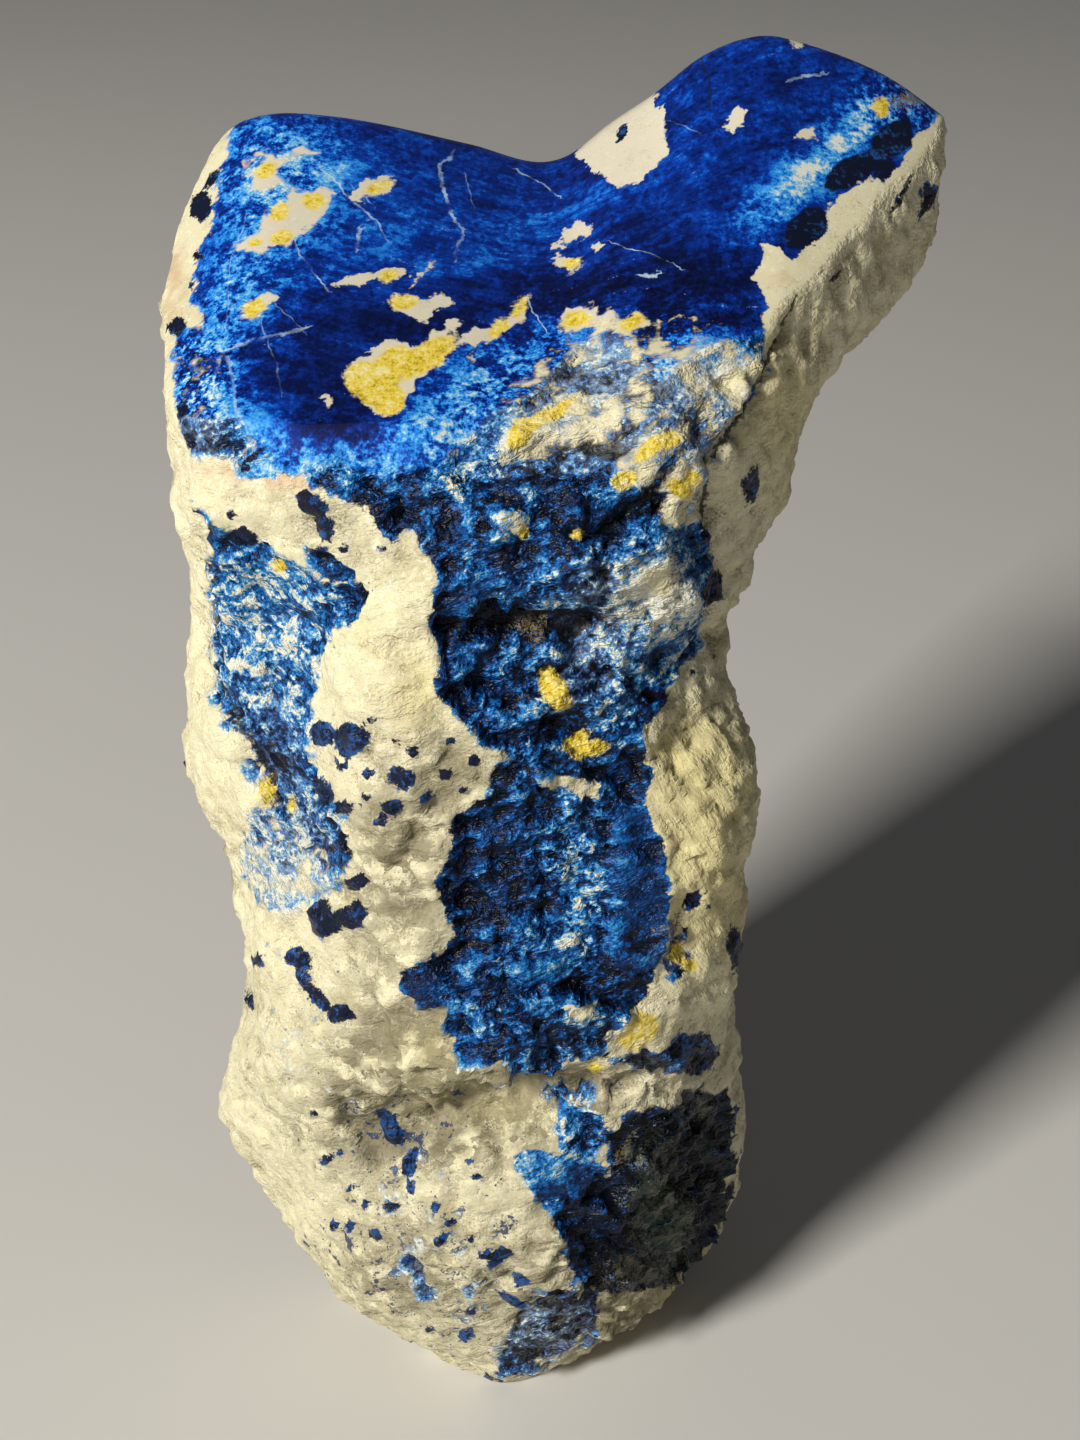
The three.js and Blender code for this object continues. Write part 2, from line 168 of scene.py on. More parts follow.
# Pale patches on the blue: outlines.
PALE_PATCHES = (
    ((657, 84), (634, 98), (610, 113), (592, 132), (577, 155), (594, 170), (608, 180), (616, 190),
     (641, 181), (654, 170), (667, 157), (665, 124)),
    ((735, 109), (746, 110), (745, 125), (733, 134), (722, 127)),
    ((790, 38), (799, 37), (801, 50), (793, 51)),
    ((584, 216), (560, 229), (560, 247), (577, 236), (596, 233)),
    ((793, 140), (800, 129), (817, 126), (816, 135), (802, 142)),
    # cream with yellow cores on the left of the polish
    ((246, 172), (268, 156), (304, 148), (320, 149), (293, 161), (271, 170), (279, 180), (293, 189),
     (271, 190), (252, 186)),
    ((235, 244), (260, 227), (279, 208), (295, 194), (320, 189), (339, 196), (331, 208), (315, 224),
     (287, 244), (260, 253), (243, 249)),
    ((353, 196), (367, 182), (386, 179), (394, 185), (383, 193), (364, 198)),
    ((328, 286), (347, 274), (369, 276), (389, 268), (403, 273), (397, 282), (378, 279), (361, 284),
     (339, 288)),
    ((409, 284), (430, 259), (437, 261), (427, 274), (413, 286)),
    ((393, 298), (405, 293), (419, 301), (441, 296), (454, 300), (441, 309), (430, 313), (432, 326),
     (421, 323), (410, 315), (397, 315), (391, 309)),
    ((452, 345), (474, 331), (493, 329), (506, 318), (517, 303), (527, 306), (523, 318), (506, 330),
     (490, 341), (478, 344), (472, 357), (466, 344)),
    ((341, 378), (353, 361), (378, 350), (391, 338), (401, 346), (424, 344), (438, 333), (452, 337),
     (450, 350), (441, 364), (419, 381), (408, 394), (400, 409), (383, 414), (369, 411), (361, 394),
     (347, 381)),
    ((238, 319), (254, 304), (268, 296), (278, 302), (271, 308), (254, 316)),
    ((447, 322), (463, 320), (464, 328), (452, 331)), ((318, 397), (328, 394), (332, 402), (324, 407)),
    # along the front rim
    ((560, 326), (566, 311), (584, 306), (604, 312), (612, 306), (622, 318), (642, 313), (646, 326),
     (628, 334), (600, 330), (580, 336)),
    ((551, 262), (560, 256), (574, 254), (584, 262), (572, 270), (560, 272)),
    ((546, 245), (556, 240), (562, 247), (552, 252)), ((590, 244), (602, 246), (600, 254), (588, 252)),
    # the curl and the pale bulge at the front's right edge
    ((696, 606), (706, 597), (722, 596), (726, 608), (716, 624), (700, 628)),
    ((634, 576), (646, 566), (668, 568), (664, 586), (648, 594)),
    # pale gaps in the lower seam
    ((540, 772), (600, 790), (604, 800), (560, 796), (536, 784)),
    ((560, 1000), (600, 1006), (606, 1014), (570, 1016), (552, 1008)),
    # pale among the blue low on the front
    ((420, 1192), (440, 1190), (450, 1206), (436, 1220), (418, 1210)),
)

# Pale heaps on the rough shoulder, still speckled with blue: outlines.
PALE_HEAPS = (
    ((562, 338), (576, 328), (604, 324), (636, 328), (634, 344), (612, 354), (600, 368), (584, 366),
     (570, 354)),
    ((652, 368), (668, 356), (690, 348), (706, 332), (730, 336), (754, 350), (762, 378), (744, 402),
     (722, 410), (704, 396), (686, 404), (668, 386)),
    ((500, 440), (512, 420), (534, 404), (562, 396), (590, 404), (612, 396), (620, 420), (606, 440),
     (580, 432), (552, 440), (530, 454), (508, 454)),
    ((612, 470), (632, 442), (660, 428), (684, 430), (676, 452), (654, 470), (634, 490), (616, 490)),
    ((690, 446), (712, 436), (716, 466), (704, 490), (692, 512), (676, 506), (668, 488), (684, 470)),
    ((496, 518), (516, 510), (528, 522), (520, 536), (502, 532)),
)

# Dark blobs: (across, down, half length, half width, and any turn in degrees).
DARK_BLOBS = (
    (622, 134, 9, 5, 62), (806, 228, 24, 17, 45), (853, 170, 34, 13, 32), (893, 138, 24, 16, 40),
    (884, 170, 12, 9, 60), (925, 205, 14, 5, 70), (902, 195, 22, 2.2, 58), (837, 278, 9, 2.2, 45),
    (201, 206, 15, 11, 75), (212, 178, 12, 5, 60), (197, 257, 5, 4), (191, 285, 5, 3, 80),
    (176, 327, 11, 8, 35), (184, 411, 9, 5, 80), (187, 441, 9, 6, 80), (186, 425, 4, 3),
    (311, 505, 20, 13, -50), (322, 530, 15, 10, -60), (243, 541, 14, 13), (232, 515, 7, 4, 10),
    (745, 485, 6, 6), (752, 486, 21, 6, 82), (706, 586, 20, 12, 60), (716, 655, 3, 3), (692, 672, 3, 3),
    (662, 702, 11, 4, 60), (630, 752, 10, 6, 40), (640, 760, 6, 5), (320, 733, 14, 12, 40),
    (352, 738, 19, 16, 10), (373, 717, 7, 3, 30), (334, 740, 8, 5), (345, 764, 6, 5), (370, 772, 6, 6),
    (402, 775, 14, 11), (445, 773, 8, 7, 20), (473, 760, 7, 7), (325, 786, 11, 8, -30), (331, 794, 7, 6),
    (347, 805, 12, 8, 15), (394, 803, 11, 9, 20), (426, 797, 7, 6), (370, 793, 6, 5), (343, 834, 6, 6),
    (384, 818, 6, 5), (452, 744, 6, 5), (414, 750, 6, 5), (396, 742, 5, 5), (462, 790, 6, 5),
    (357, 882, 11, 8, 10), (325, 917, 15, 18), (356, 915, 15, 14), (340, 920, 8, 10),
    (298, 959, 13, 11, -40), (304, 980, 16, 7, -60), (318, 1000, 18, 8, -45), (342, 1013, 15, 9, -10),
    (345, 548, 7, 4), (382, 548, 5, 4), (446, 540, 8, 6), (470, 1160, 5, 4), (450, 1222, 6, 5, 20),
    (486, 1252, 7, 5), (470, 1310, 8, 5, 30), (430, 1330, 6, 4), (350, 1190, 5, 3, 30),
    (388, 1130, 10, 22, 20), (408, 1164, 9, 13), (390, 1207, 8, 6), (407, 1262, 8, 5, -50),
    (733, 950, 5, 22), (690, 894, 7, 6), (705, 903, 4, 3), (683, 930, 4, 5), (260, 960, 5, 7),
    (248, 1000, 4, 10, 10), (340, 1155, 4, 4), (335, 1225, 4, 4), (500, 1258, 14, 9, 30), (520, 1278, 9, 7),
    (436, 1206, 5, 6), (478, 1176, 5, 6, 20), (440, 1240, 10, 5, 30), (512, 1300, 14, 7, -30),
    (466, 1334, 9, 6, 20), (410, 1186, 6, 8), (364, 1206, 5, 6), (374, 1236, 6, 8, 20), (316, 1110, 5, 6),
    (326, 1160, 7, 5, 30), (350, 1226, 5, 8), (470, 1240, 5, 4), (490, 1378, 6, 4), (252, 456, 15, 4, 30),
    (240, 472, 9, 4, 20), (395, 520, 14, 10, 20), (430, 545, 7, 4, 20),
)

# Yellow spots, in the same form.
YELLOW_SPOTS = (
    (312, 201, 9, 7, 20), (280, 212, 7, 6, 40), (282, 238, 9, 6, 20), (267, 169, 9, 6, 30),
    (255, 242, 6, 4, 10), (375, 188, 9, 3, 20), (390, 275, 8, 4, 10), (403, 303, 9, 6),
    (374, 385, 27, 20, -30), (390, 398, 16, 14, 60), (425, 358, 30, 12, 35), (396, 362, 20, 13, 10),
    (500, 328, 9, 5, 30), (519, 310, 7, 4, 50), (254, 308, 9, 5, 30), (575, 321, 12, 6, 25),
    (634, 322, 10, 6, 20), (571, 263, 6, 4, 20), (880, 107, 7, 8), (520, 436, 9, 13, -20),
    (536, 424, 11, 4, 50), (560, 410, 12, 3, 30), (650, 448, 15, 6, 42), (624, 480, 10, 6, 20),
    (668, 440, 9, 7, 30), (680, 488, 11, 9, -30), (692, 478, 5, 6), (279, 569, 6, 5), (260, 797, 4, 10, 10),
    (287, 809, 3, 4), (557, 690, 11, 20, 25), (524, 533, 5, 6), (580, 536, 6, 4), (594, 750, 16, 7, 20),
    (580, 742, 10, 4, 30), (640, 1026, 15, 13, 30), (632, 1040, 10, 6), (598, 1079, 8, 9), (677, 951, 6, 9),
    (690, 965, 6, 5), (574, 318, 8, 5),
)

# Brown speckled spots, in the same form.
BROWN_SPOTS = (
    (532, 630, 17, 14, -20), (611, 620, 8, 12), (905, 100, 20, 9, 10), (402, 776, 8, 6), (668, 930, 8, 12),
    (570, 700, 7, 10), (700, 500, 8, 12, 60), (662, 1218, 30, 56, 14), (646, 1272, 44, 18, 18),
    (640, 1150, 30, 12, 30), (704, 1110, 14, 16),
)

# Tone of the blue, from 0 (near black) by ultramarine and azure to 1 (white): soft ovals that add to it.
# (across, down, half length, half width, amount, and any turn in degrees)
TONES = (
    (275, 180, 62, 72, 0.27), (245, 290, 40, 45, 0.22), (262, 430, 38, 42, 0.22),
    (455, 395, 88, 26, 0.24, 38), (330, 462, 110, 26, 0.26, 4), (418, 440, 40, 18, 0.18, 20),
    (430, 230, 160, 70, 0.03), (205, 390, 36, 70, 0.20), (345, 168, 34, 22, 0.20),
    (380, 240, 40, 20, 0.10, 20), (600, 288, 190, 24, -0.20, 8), (325, 385, 80, 50, -0.17),
    (330, 305, 80, 22, -0.08), (495, 180, 70, 34, -0.03, -12), (545, 218, 110, 13, 0.10, 24),
    (470, 262, 60, 12, 0.04, 10), (420, 330, 70, 16, -0.12), (345, 430, 40, 22, -0.12),
    (660, 240, 80, 30, -0.06), (745, 75, 80, 20, -0.03, -20), (815, 168, 84, 21, 0.55, 41),
    (790, 150, 60, 36, -0.02, 30), (480, 205, 60, 30, 0.03), (700, 280, 60, 26, -0.10, 10),
    (870, 110, 40, 16, 0.16, 10), (600, 170, 50, 20, -0.06, 20), (705, 372, 60, 36, 0.22),
    (690, 322, 90, 14, -0.22, 6), (570, 395, 70, 36, 0.02, 30), (560, 480, 60, 30, 0.02, 20),
    (640, 520, 46, 20, -0.04, 40), (470, 470, 60, 36, 0.28, 40), (390, 515, 26, 18, -0.14),
    (598, 446, 34, 12, -0.24), (625, 515, 40, 10, -0.22, 40), (470, 560, 60, 14, 0.20, 30),
    (440, 600, 14, 50, -0.14), (478, 586, 34, 30, 0.12), (480, 662, 30, 20, 0.10),
    (540, 590, 60, 30, 0.14, 30), (500, 690, 40, 30, 0.06), (520, 632, 90, 9, -0.26, 2),
    (600, 660, 36, 38, 0.33), (604, 730, 44, 30, 0.26), (652, 596, 42, 46, 0.75), (470, 870, 36, 60, -0.10),
    (520, 975, 70, 40, 0.14, 20), (640, 880, 26, 70, 0.06), (582, 870, 26, 66, 0.40, 10),
    (570, 950, 26, 22, 0.38), (425, 985, 26, 18, -0.04, 30), (540, 1050, 60, 26, 0.08),
    (600, 1020, 40, 12, 0.24), (556, 1168, 44, 30, 0.34), (580, 1130, 26, 20, 0.20),
    # the second oval below is the lower right facet: near-black blue, partly navy and partly painted shade
    (600, 1250, 24, 50, -0.10), (685, 1190, 84, 140, -0.42), (590, 1310, 50, 30, -0.14),
    (690, 1056, 30, 24, 0.06), (262, 640, 56, 120, 0.53, 10), (290, 860, 44, 66, 0.28),
    (272, 762, 28, 24, -0.20), (225, 545, 20, 30, -0.10, 20), (320, 600, 36, 18, 0.22, -30),
    (430, 1210, 40, 50, 0.30), (685, 640, 14, 34, 0.14),
)

# How much its tones vary and how ragged its borders are, in the same form, as are the next five.
MINGLING = (
    (640, 400, 150, 80, 1.5), (640, 590, 90, 60, 1.2), (590, 680, 60, 50, 0.9), (265, 680, 70, 160, 0.85),
    (290, 870, 60, 80, 1.1), (200, 390, 36, 74, 1.5), (270, 180, 60, 70, 0.9), (245, 290, 40, 45, 0.5),
    (430, 1220, 90, 110, 1.2), (300, 1060, 70, 90, 1.1), (670, 1180, 90, 110, 0.3),
    (540, 1330, 80, 50, 1.3), (905, 105, 40, 30, 1.0), (620, 1080, 90, 40, 1.0), (570, 860, 40, 80, 0.5),
    (480, 470, 80, 50, 0.5), (455, 405, 90, 30, 0.35, 36), (300, 460, 90, 30, 0.45),
    (670, 950, 50, 40, 0.8), (480, 770, 60, 30, 0.7), (815, 168, 88, 24, 0.7, 41),
)

# Pink and tan tints in the pale stone; below 0 it is yellowish.
TINTS = (
    (280, 474, 90, 16, 0.9), (172, 270, 16, 60, 0.6), (776, 275, 22, 18, 0.9, 30), (616, 186, 14, 8, 0.5),
    (240, 330, 40, 30, 0.3), (415, 690, 34, 50, -0.8), (360, 620, 40, 30, -0.5), (700, 880, 60, 110, -1.0),
    (700, 760, 50, 60, -0.8), (790, 420, 60, 160, -0.7, 20), (440, 1040, 70, 30, -0.35, 10),
    (500, 1110, 110, 30, -0.4), (660, 1270, 60, 50, -0.6), (570, 1090, 60, 20, 0.5),
    (600, 610, 20, 20, 0.6), (900, 100, 30, 16, 0.7), (520, 400, 40, 16, 0.4, 30),
)

# Where the pale stone is broken rough and stained, from 0 to 1. Its stain darkens the colour and stands
# partly for shade: painted shade under the seam's ledge, on the lower right facet and on the right of the
# middle.
COARSE_AND_SHADED = (
    (400, 870, 70, 110, 1.4), (420, 1050, 90, 60, 1.6), (390, 1130, 90, 60, 1.1), (696, 780, 50, 76, 1.3),
    (520, 1110, 130, 46, 1.5), (430, 1250, 90, 80, 0.5), (600, 1300, 110, 60, 1.3),
    (400, 1280, 80, 50, 0.7), (240, 1010, 30, 60, 0.3), (640, 380, 130, 70, 0.35), (660, 1240, 70, 90, 1.2),
    (360, 540, 80, 40, 0.5), (450, 760, 40, 40, 0.7), (560, 1230, 40, 60, 0.5),
)

# Where small navy flecks are strewn over the pale stone, from 0 to 1.
FLECKS = (
    (400, 790, 90, 50, 1.1), (330, 740, 50, 60, 0.8), (300, 1010, 60, 70, 0.9), (330, 1110, 70, 70, 0.8),
    (430, 1230, 110, 100, 1.7), (360, 1250, 70, 60, 1.0), (520, 1330, 90, 60, 1.8),
    (390, 1130, 60, 40, 1.2), (690, 900, 40, 60, 0.8), (700, 690, 40, 50, 0.9), (640, 1095, 90, 30, 1.2),
    (745, 460, 30, 60, 0.8), (890, 230, 70, 30, 0.7, 50), (300, 520, 110, 40, 0.8),
    (700, 1000, 50, 60, 1.1), (670, 370, 90, 60, 1.2), (390, 570, 50, 24, 0.7), (470, 1120, 60, 20, 0.5),
)

# Where the grain runs steeply down instead of level, from 0 to 1.
FIBRES = (
    (262, 640, 80, 150, 1.6, 10), (290, 860, 70, 90, 1.6), (700, 780, 50, 120, 1.4),
    (700, 960, 40, 60, 1.2),
)

# Swells and hollows of the front, in mm.
SWELLS = (
    (262, 650, 40, 110, -1.5, 12), (288, 850, 26, 70, -0.9), (385, 690, 50, 90, 0.9),
    (390, 900, 56, 110, 0.5), (618, 880, 42, 90, 1.5), (478, 880, 40, 80, -0.9),
    (520, 632, 90, 12, -1.5, 2), (706, 860, 36, 60, 1.2), (694, 735, 36, 34, -0.8),
    (480, 1110, 140, 26, -2.6, 12), (450, 1066, 120, 20, 0.9, 10), (520, 1176, 80, 34, 1.3),
    (300, 1180, 60, 80, 0.5, 30), (214, 740, 26, 70, 1.6), (560, 405, 50, 16, 1.1, 22),
    (640, 470, 40, 20, 0.9, 40), (600, 450, 60, 10, -1.0), (690, 400, 40, 30, 0.8),
    (330, 520, 60, 20, -0.8), (250, 510, 40, 20, 0.6), (674, 594, 30, 42, 1.8), (592, 672, 20, 20, -1.0),
    (560, 700, 30, 16, 0.9, 30), (520, 965, 60, 22, 0.9, 24), (425, 985, 24, 16, 1.0, 30),
    (684, 1056, 36, 16, 1.1, 10), (640, 1026, 20, 14, 0.9), (360, 1170, 40, 30, -0.9),
    (600, 1240, 20, 60, -1.0), (400, 1010, 50, 16, -0.7, 30), (690, 1320, 60, 30, -0.6),
    (500, 700, 40, 40, 0.6), (640, 770, 30, 16, -0.8),
)

# Thin lines: half width in mm, then the points they run through. Those that cross are in different sets.
PALE_VEINS = (
    (0.24, (455, 143), (449, 157), (441, 165), (442, 184), (447, 206), (457, 223), (463, 231), (458, 244),
     (457, 258)),
    (0.15, (315, 161), (346, 193), (378, 224), (388, 240)),
    (0.19, (230, 349), (262, 338), (287, 334), (310, 325)), (0.12, (295, 242), (308, 264), (328, 292)),
    (0.22, (361, 230), (356, 250)), (0.10, (528, 300), (545, 332)), (0.22, (789, 80), (827, 73)),
    (0.22, (641, 276), (659, 273)), (0.09, (516, 170), (560, 196)),
    (0.08, (610, 242), (640, 250), (680, 268)),
)
CROSS_VEINS = (
    (0.11, (260, 322), (268, 345), (277, 364), (280, 394)),
    (0.24, (217, 348), (229, 361), (235, 392), (240, 420)), (0.08, (332, 166), (374, 206)),
    (0.09, (266, 296), (304, 332)), (0.07, (640, 110), (700, 132)), (0.08, (466, 176), (474, 206)),
    (0.08, (250, 205), (232, 260), (226, 330)),
)
# Dark lines: a few cracks, and painted shadow along creases, a crevice and the edges where a face turns
# into shade.
CRACK_AND_SHADOW_LINES = (
    (0.30, (797, 298), (788, 326), (778, 348), (766, 372), (756, 392), (738, 424), (720, 456)),
    (0.26, (712, 480), (711, 515), (707, 545), (712, 566)),
    (0.26, (200, 512), (203, 560), (204, 604), (212, 668), (233, 720), (254, 762), (270, 803)),
    (0.30, (436, 628), (478, 625), (516, 633), (560, 622), (604, 630)),
    (0.22, (911, 178), (904, 194), (893, 212)), (0.20, (842, 272), (832, 284)),
    (0.14, (700, 60), (712, 90), (708, 108)), (0.22, (440, 956), (474, 950), (505, 938)),
    (0.20, (503, 960), (506, 1000), (500, 1040)),
)

# Shapes cut into or raised on the front: (push in mm, reach in mm, then the points of its middle line).
RAISED_LINES = (
    (-1.4, 1.0, (440, 628), (478, 624), (515, 632), (560, 622), (600, 628), (620, 640)),
    (-1.3, 1.0, (700, 420), (713, 470), (711, 520), (716, 556)),
    (-1.5, 0.9, (516, 1098), (560, 1093), (604, 1095), (650, 1086)),
    (0.5, 1.4, (430, 1040), (470, 1062), (520, 1080), (570, 1084)),
    (-2.2, 1.6, (420, 1072), (470, 1092), (510, 1104), (560, 1108)),
    (-0.9, 2.4, (384, 1160), (410, 1136), (440, 1116), (480, 1100), (530, 1092), (596, 1084), (660, 1078)),
    (0.9, 1.4, (390, 1134), (420, 1108), (470, 1082), (530, 1070)),
    (-1.1, 1.1, (566, 668), (580, 648), (606, 650), (616, 672), (600, 690)),
    (0.9, 1.2, (600, 640), (626, 660), (620, 694), (596, 704)),
    (0.9, 1.2, (640, 792), (660, 830), (664, 880), (660, 930), (648, 976)),
    (0.7, 1.3, (436, 596), (434, 640), (436, 690), (470, 726), (500, 752)),
    (-0.9, 0.9, (441, 600), (442, 640), (444, 688), (476, 718), (506, 744)),
    (0.8, 1.0, (470, 960), (500, 930), (540, 940), (580, 970)),
    (-1.0, 0.8, (504, 950), (506, 1000), (500, 1040)), (-1.0, 0.9, (440, 958), (490, 948), (520, 930)),
    (-1.0, 0.8, (540, 850), (552, 900), (548, 950)),
    (-0.8, 0.8, (470, 830), (460, 870), (470, 910), (500, 926)),
    (0.8, 0.9, (486, 840), (480, 880), (500, 904)),
    (-1.0, 1.1, (426, 1124), (466, 1120), (520, 1132), (560, 1118)),
    (0.7, 1.0, (446, 1140), (480, 1134), (520, 1148)),
    (-1.3, 0.9, (797, 300), (779, 345), (756, 392), (720, 452)),
    (0.9, 1.1, (784, 296), (766, 338), (740, 384), (706, 444)),
    (-1.0, 0.9, (500, 470), (540, 444), (590, 436), (640, 424)),
    (0.8, 1.0, (500, 452), (540, 430), (590, 422)),
    (-0.8, 0.9, (520, 560), (560, 544), (610, 530), (664, 500)),
    (0.7, 0.9, (440, 556), (480, 532), (520, 516)),
    (0.9, 0.9, (696, 606), (708, 598), (724, 604), (716, 626)),
    (-0.9, 0.8, (694, 628), (716, 634), (728, 612)), (-1.0, 0.9, (558, 780), (610, 776), (648, 800)),
    (-0.8, 0.8, (884, 196), (862, 236), (834, 272)),
    (-1.4, 1.0, (198, 520), (203, 580), (206, 640), (216, 690), (236, 730), (258, 772), (268, 806)),
    (-0.9, 0.8, (238, 840), (244, 880), (240, 920)), (-0.7, 0.8, (690, 780), (716, 800), (740, 832)),
    (-0.6, 0.8, (676, 840), (700, 866), (722, 900)), (-0.7, 0.9, (350, 960), (372, 1000), (384, 1040)),
    (-0.6, 0.8, (330, 820), (356, 862), (376, 890)),
)

# ---------------------------------------------------------------------------------------------------------
# Blue ground and dark blobs on the sides that the sheet doesn't reach: middles and half-sizes in mm.
FAR_BLUE = (
    ((-16, 38, 182), (26, 12, 13)), ((44, 38, 194), (24, 12, 9)), ((12, 36, 166), (15, 14, 16)),
    ((8, 36, 140), (9, 14, 18)), ((0, 36, 116), (12, 14, 14)), ((-6, 34, 92), (8, 14, 14)),
    ((4, 34, 70), (10, 14, 12)), ((10, 30, 50), (7, 12, 10)), ((-30, 28, 128), (6, 8, 10)),
    ((28, 30, 108), (5, 8, 4)), ((-26, 28, 58), (6, 9, 5)), ((24, 24, 36), (8, 9, 6)),
    ((36, 22, 148), (6, 9, 8)), ((-46, 14, 164), (7, 9, 12)), ((-46, 12, 142), (6, 6, 7)),
    ((-40, 14, 84), (6, 6, 9)), ((42, 10, 58), (6, 7, 8)), ((38, 12, 92), (5, 6, 4)),
    ((58, 34, 184), (8, 8, 6)), ((-12, 20, 14), (8, 9, 5)),
)
FAR_DARK = (
    ((22, 36, 128), (3.2, 6, 2.6)), ((-20, 34, 106), (2.8, 6, 3.4)), ((-33, 26, 92), (2.4, 4, 2.2)),
    ((18, 34, 92), (2.6, 6, 2.2)), ((-10, 30, 40), (3, 6, 2.4)), ((32, 22, 72), (3, 4, 4)),
    ((-46, 6, 118), (3, 3, 2.4)), ((-46, 8, 108), (2.2, 3, 2)), ((44, 6, 44), (3, 3, 3.4)),
    ((40, 20, 128), (3, 4, 2.6)), ((60, 24, 192), (4, 5, 2.6)), ((-30, 26, 170), (4, 6, 3)),
    ((46, 2, 30), (2.6, 3, 2.4)), ((-26, 22, 30), (3, 4, 2.4)), ((0, 36, 152), (3.4, 6, 2.4)),
)
FAR_YELLOW = (
    ((14, 38, 158), (3.4, 6, 2)), ((2, 36, 124), (2.4, 6, 3)), ((-28, 36, 186), (4, 5, 1.8)),
    ((6, 32, 62), (2.6, 5, 2)), ((48, 36, 188), (3.4, 5, 1.6)),
)

# ---------------------------------------------------------------------------------------------------------
# The mesh's vector attributes, and the three fields that each holds.
FIELD_SETS = {
    "ground": ("blue", "tone", "mingling"),
    "finish": ("polish", "vivid", "fibres"),
    "surface": ("ridge", "hollow", "coarse"),
    "spots": ("dark", "yellow", "brown"),
    "stains": ("tint", "flecks", "calm"),
    "lines": ("vein", "vein_near", "cross"),
    "more_lines": ("cross_near", "crack_and_shadow", "crack_and_shadow_near"),
    "patches": ("mottle", "broad", "cream"),
}
FIELD_LIMIT = 6  # depths are held up to this far inside and outside, in mm
RIDGE_LIMIT = 1.5  # and so are ridges and hollows
HOLLOW_LIMIT = 2
SIDE_LIMIT = 30.0  # how far off a thin line is told, in its half widths and in mm
LINE_REACH = 5
OUTSIDE = -20.0  # a depth far outside every mark
HEAP_DEPTH = 0.06  # how far a pale heap presses the blue out
YELLOW_SPREAD = 0.25  # how far the yellow runs past its ovals
PLAIN_TONE = 0.36  # the blue's tone and mingling where no oval changes them
PLAIN_MINGLING = 0.2
MOST_COARSE = 1.4
MOST_FLECKS = 1.8

# How the marks' edges wander across and down the sheet: features per mm, and how many steps they move.
WOBBLES = (0.28, 8), (0.9, 6)
WOBBLE_SHIFTS = (0, 0, 0), (31, 7, 2)
STEADY = 0.35  # the share of it that small marks get

# Noise held on the mesh: features per mm, layers, each one's share of the one before, and a shift.
HELD_NOISE = {"mottle": (0.32, 3, 0.72), "broad": (0.085, 2, 0.5), "cream": (0.16, 3, 0.8, (40, 0, 9))}

# Limits between which something fades in, in mm: inside an outline, under or over the polish.
VIVID_INSIDE = -0.2, 0.6
VIVID_BELOW = -10, -7
CALM_INSIDE = -0.3, 0.9
ON_POLISH = -0.5, -0.1
BLUE_EDGE = -0.6, 0.8
SINK_EDGE = 0.2, 1.6
BLOB_EDGE = -0.2, 1.0
# The same in amounts: of fibres and pits, and of how squarely a place faces the eye.
FIBRES_EDGE = 0.3, 0.9
PIT_EDGE = 0.28, 0.5
FACING_EYE = -0.30, 0.02
RELIEF_SEEN = 0.6, 1
LINES_SEEN = 0.98

# How the mesh is worked, in passes, in mm, and in how level a face lies.
SOFTEN_PASSES = 5
RIDGE_PASSES = 5
HOLLOW_PASSES = 60
RIM_PASSES = 3
LAID_WHERE_LEVEL = 0.40, 0.72
LAID_WITHIN = 1.1, 0.5
ROUGH_BELOW_POLISH = 0.1, 3.2
ROUGH_ABOVE_FOOT = 0.2, 3.0
FOOT_FLAT = 0.25

# The relief, in mm: lengths of its forms, and how deep or how leaning they are.
LUMP_LENGTH = 8.5
GRAIN_LENGTH = 3.4
PIT_LENGTH = 3.2
PIT_DEPTH = 0.5
BLUE_SINK = 0.8
BROKEN_FACES = (7.5, 0.20), (3.3, 0.26)
LEAF_SIZE = 8, 5, 3.2
LEAF_RUN, LEAF_RISE = 0.95, 0.30

# Colours, from dark to light: of the rough blue, the polished blue and the yellow.
ROUGH_BLUES = (
    (0.0, (0.001, 0.002, 0.006)), (0.26, (0.001, 0.006, 0.024)), (0.45, (0.002, 0.026, 0.115)),
    (0.60, (0.004, 0.092, 0.36)), (0.74, (0.022, 0.240, 0.58)), (0.86, (0.25, 0.44, 0.58)),
    (1.0, (0.76, 0.74, 0.62)),
)
SMOOTH_BLUES = (
    (0.0, (0.0008, 0.002, 0.018)), (0.22, (0.001, 0.007, 0.075)), (0.38, (0.0012, 0.023, 0.23)),
    (0.48, (0.002, 0.060, 0.43)), (0.56, (0.010, 0.165, 0.64)), (0.68, (0.036, 0.305, 0.78)),
    (0.80, (0.17, 0.46, 0.75)), (1.0, (0.70, 0.73, 0.66)),
)
PALE_GOLD = 0.78, 0.64, 0.16
STRAW = 0.83, 0.77, 0.50
DUST = 0.52, 0.55, 0.50
BUFF = 0.62, 0.565, 0.35
WHITENED = 0.80, 0.78, 0.63
# weathering stain of the coarse places, used partly as painted shade
WEATHERED_AND_SHADED = 0.23, 0.205, 0.125
# grime, used partly as painted shade in the hollows
GRIME_AND_SHADE = 0.24, 0.212, 0.135
YELLOWISH = 0.70, 0.62, 0.31
NAVY_FLECK = 0.018, 0.038, 0.11
POLISHED_PALE = 0.62, 0.57, 0.49
TEAL = 0.024, 0.056, 0.064
OLIVE = 0.16, 0.17, 0.12
UMBER = 0.20, 0.15, 0.07
INK_BLUE = 0.014, 0.070, 0.25
# cracks, and painted shadow along creases and shaded edges
CRACK_AND_SHADOW = 0.010, 0.011, 0.016

# Noise in the material: features per mm, how many finer layers, and how strong they are.
STREAK_GRAIN = 0.55, 3.0, 0.68
CLOUD_GRAIN = 1.15, 2.0, 0.62
FINE_GRAIN = 2.9, 1.0, 0.6
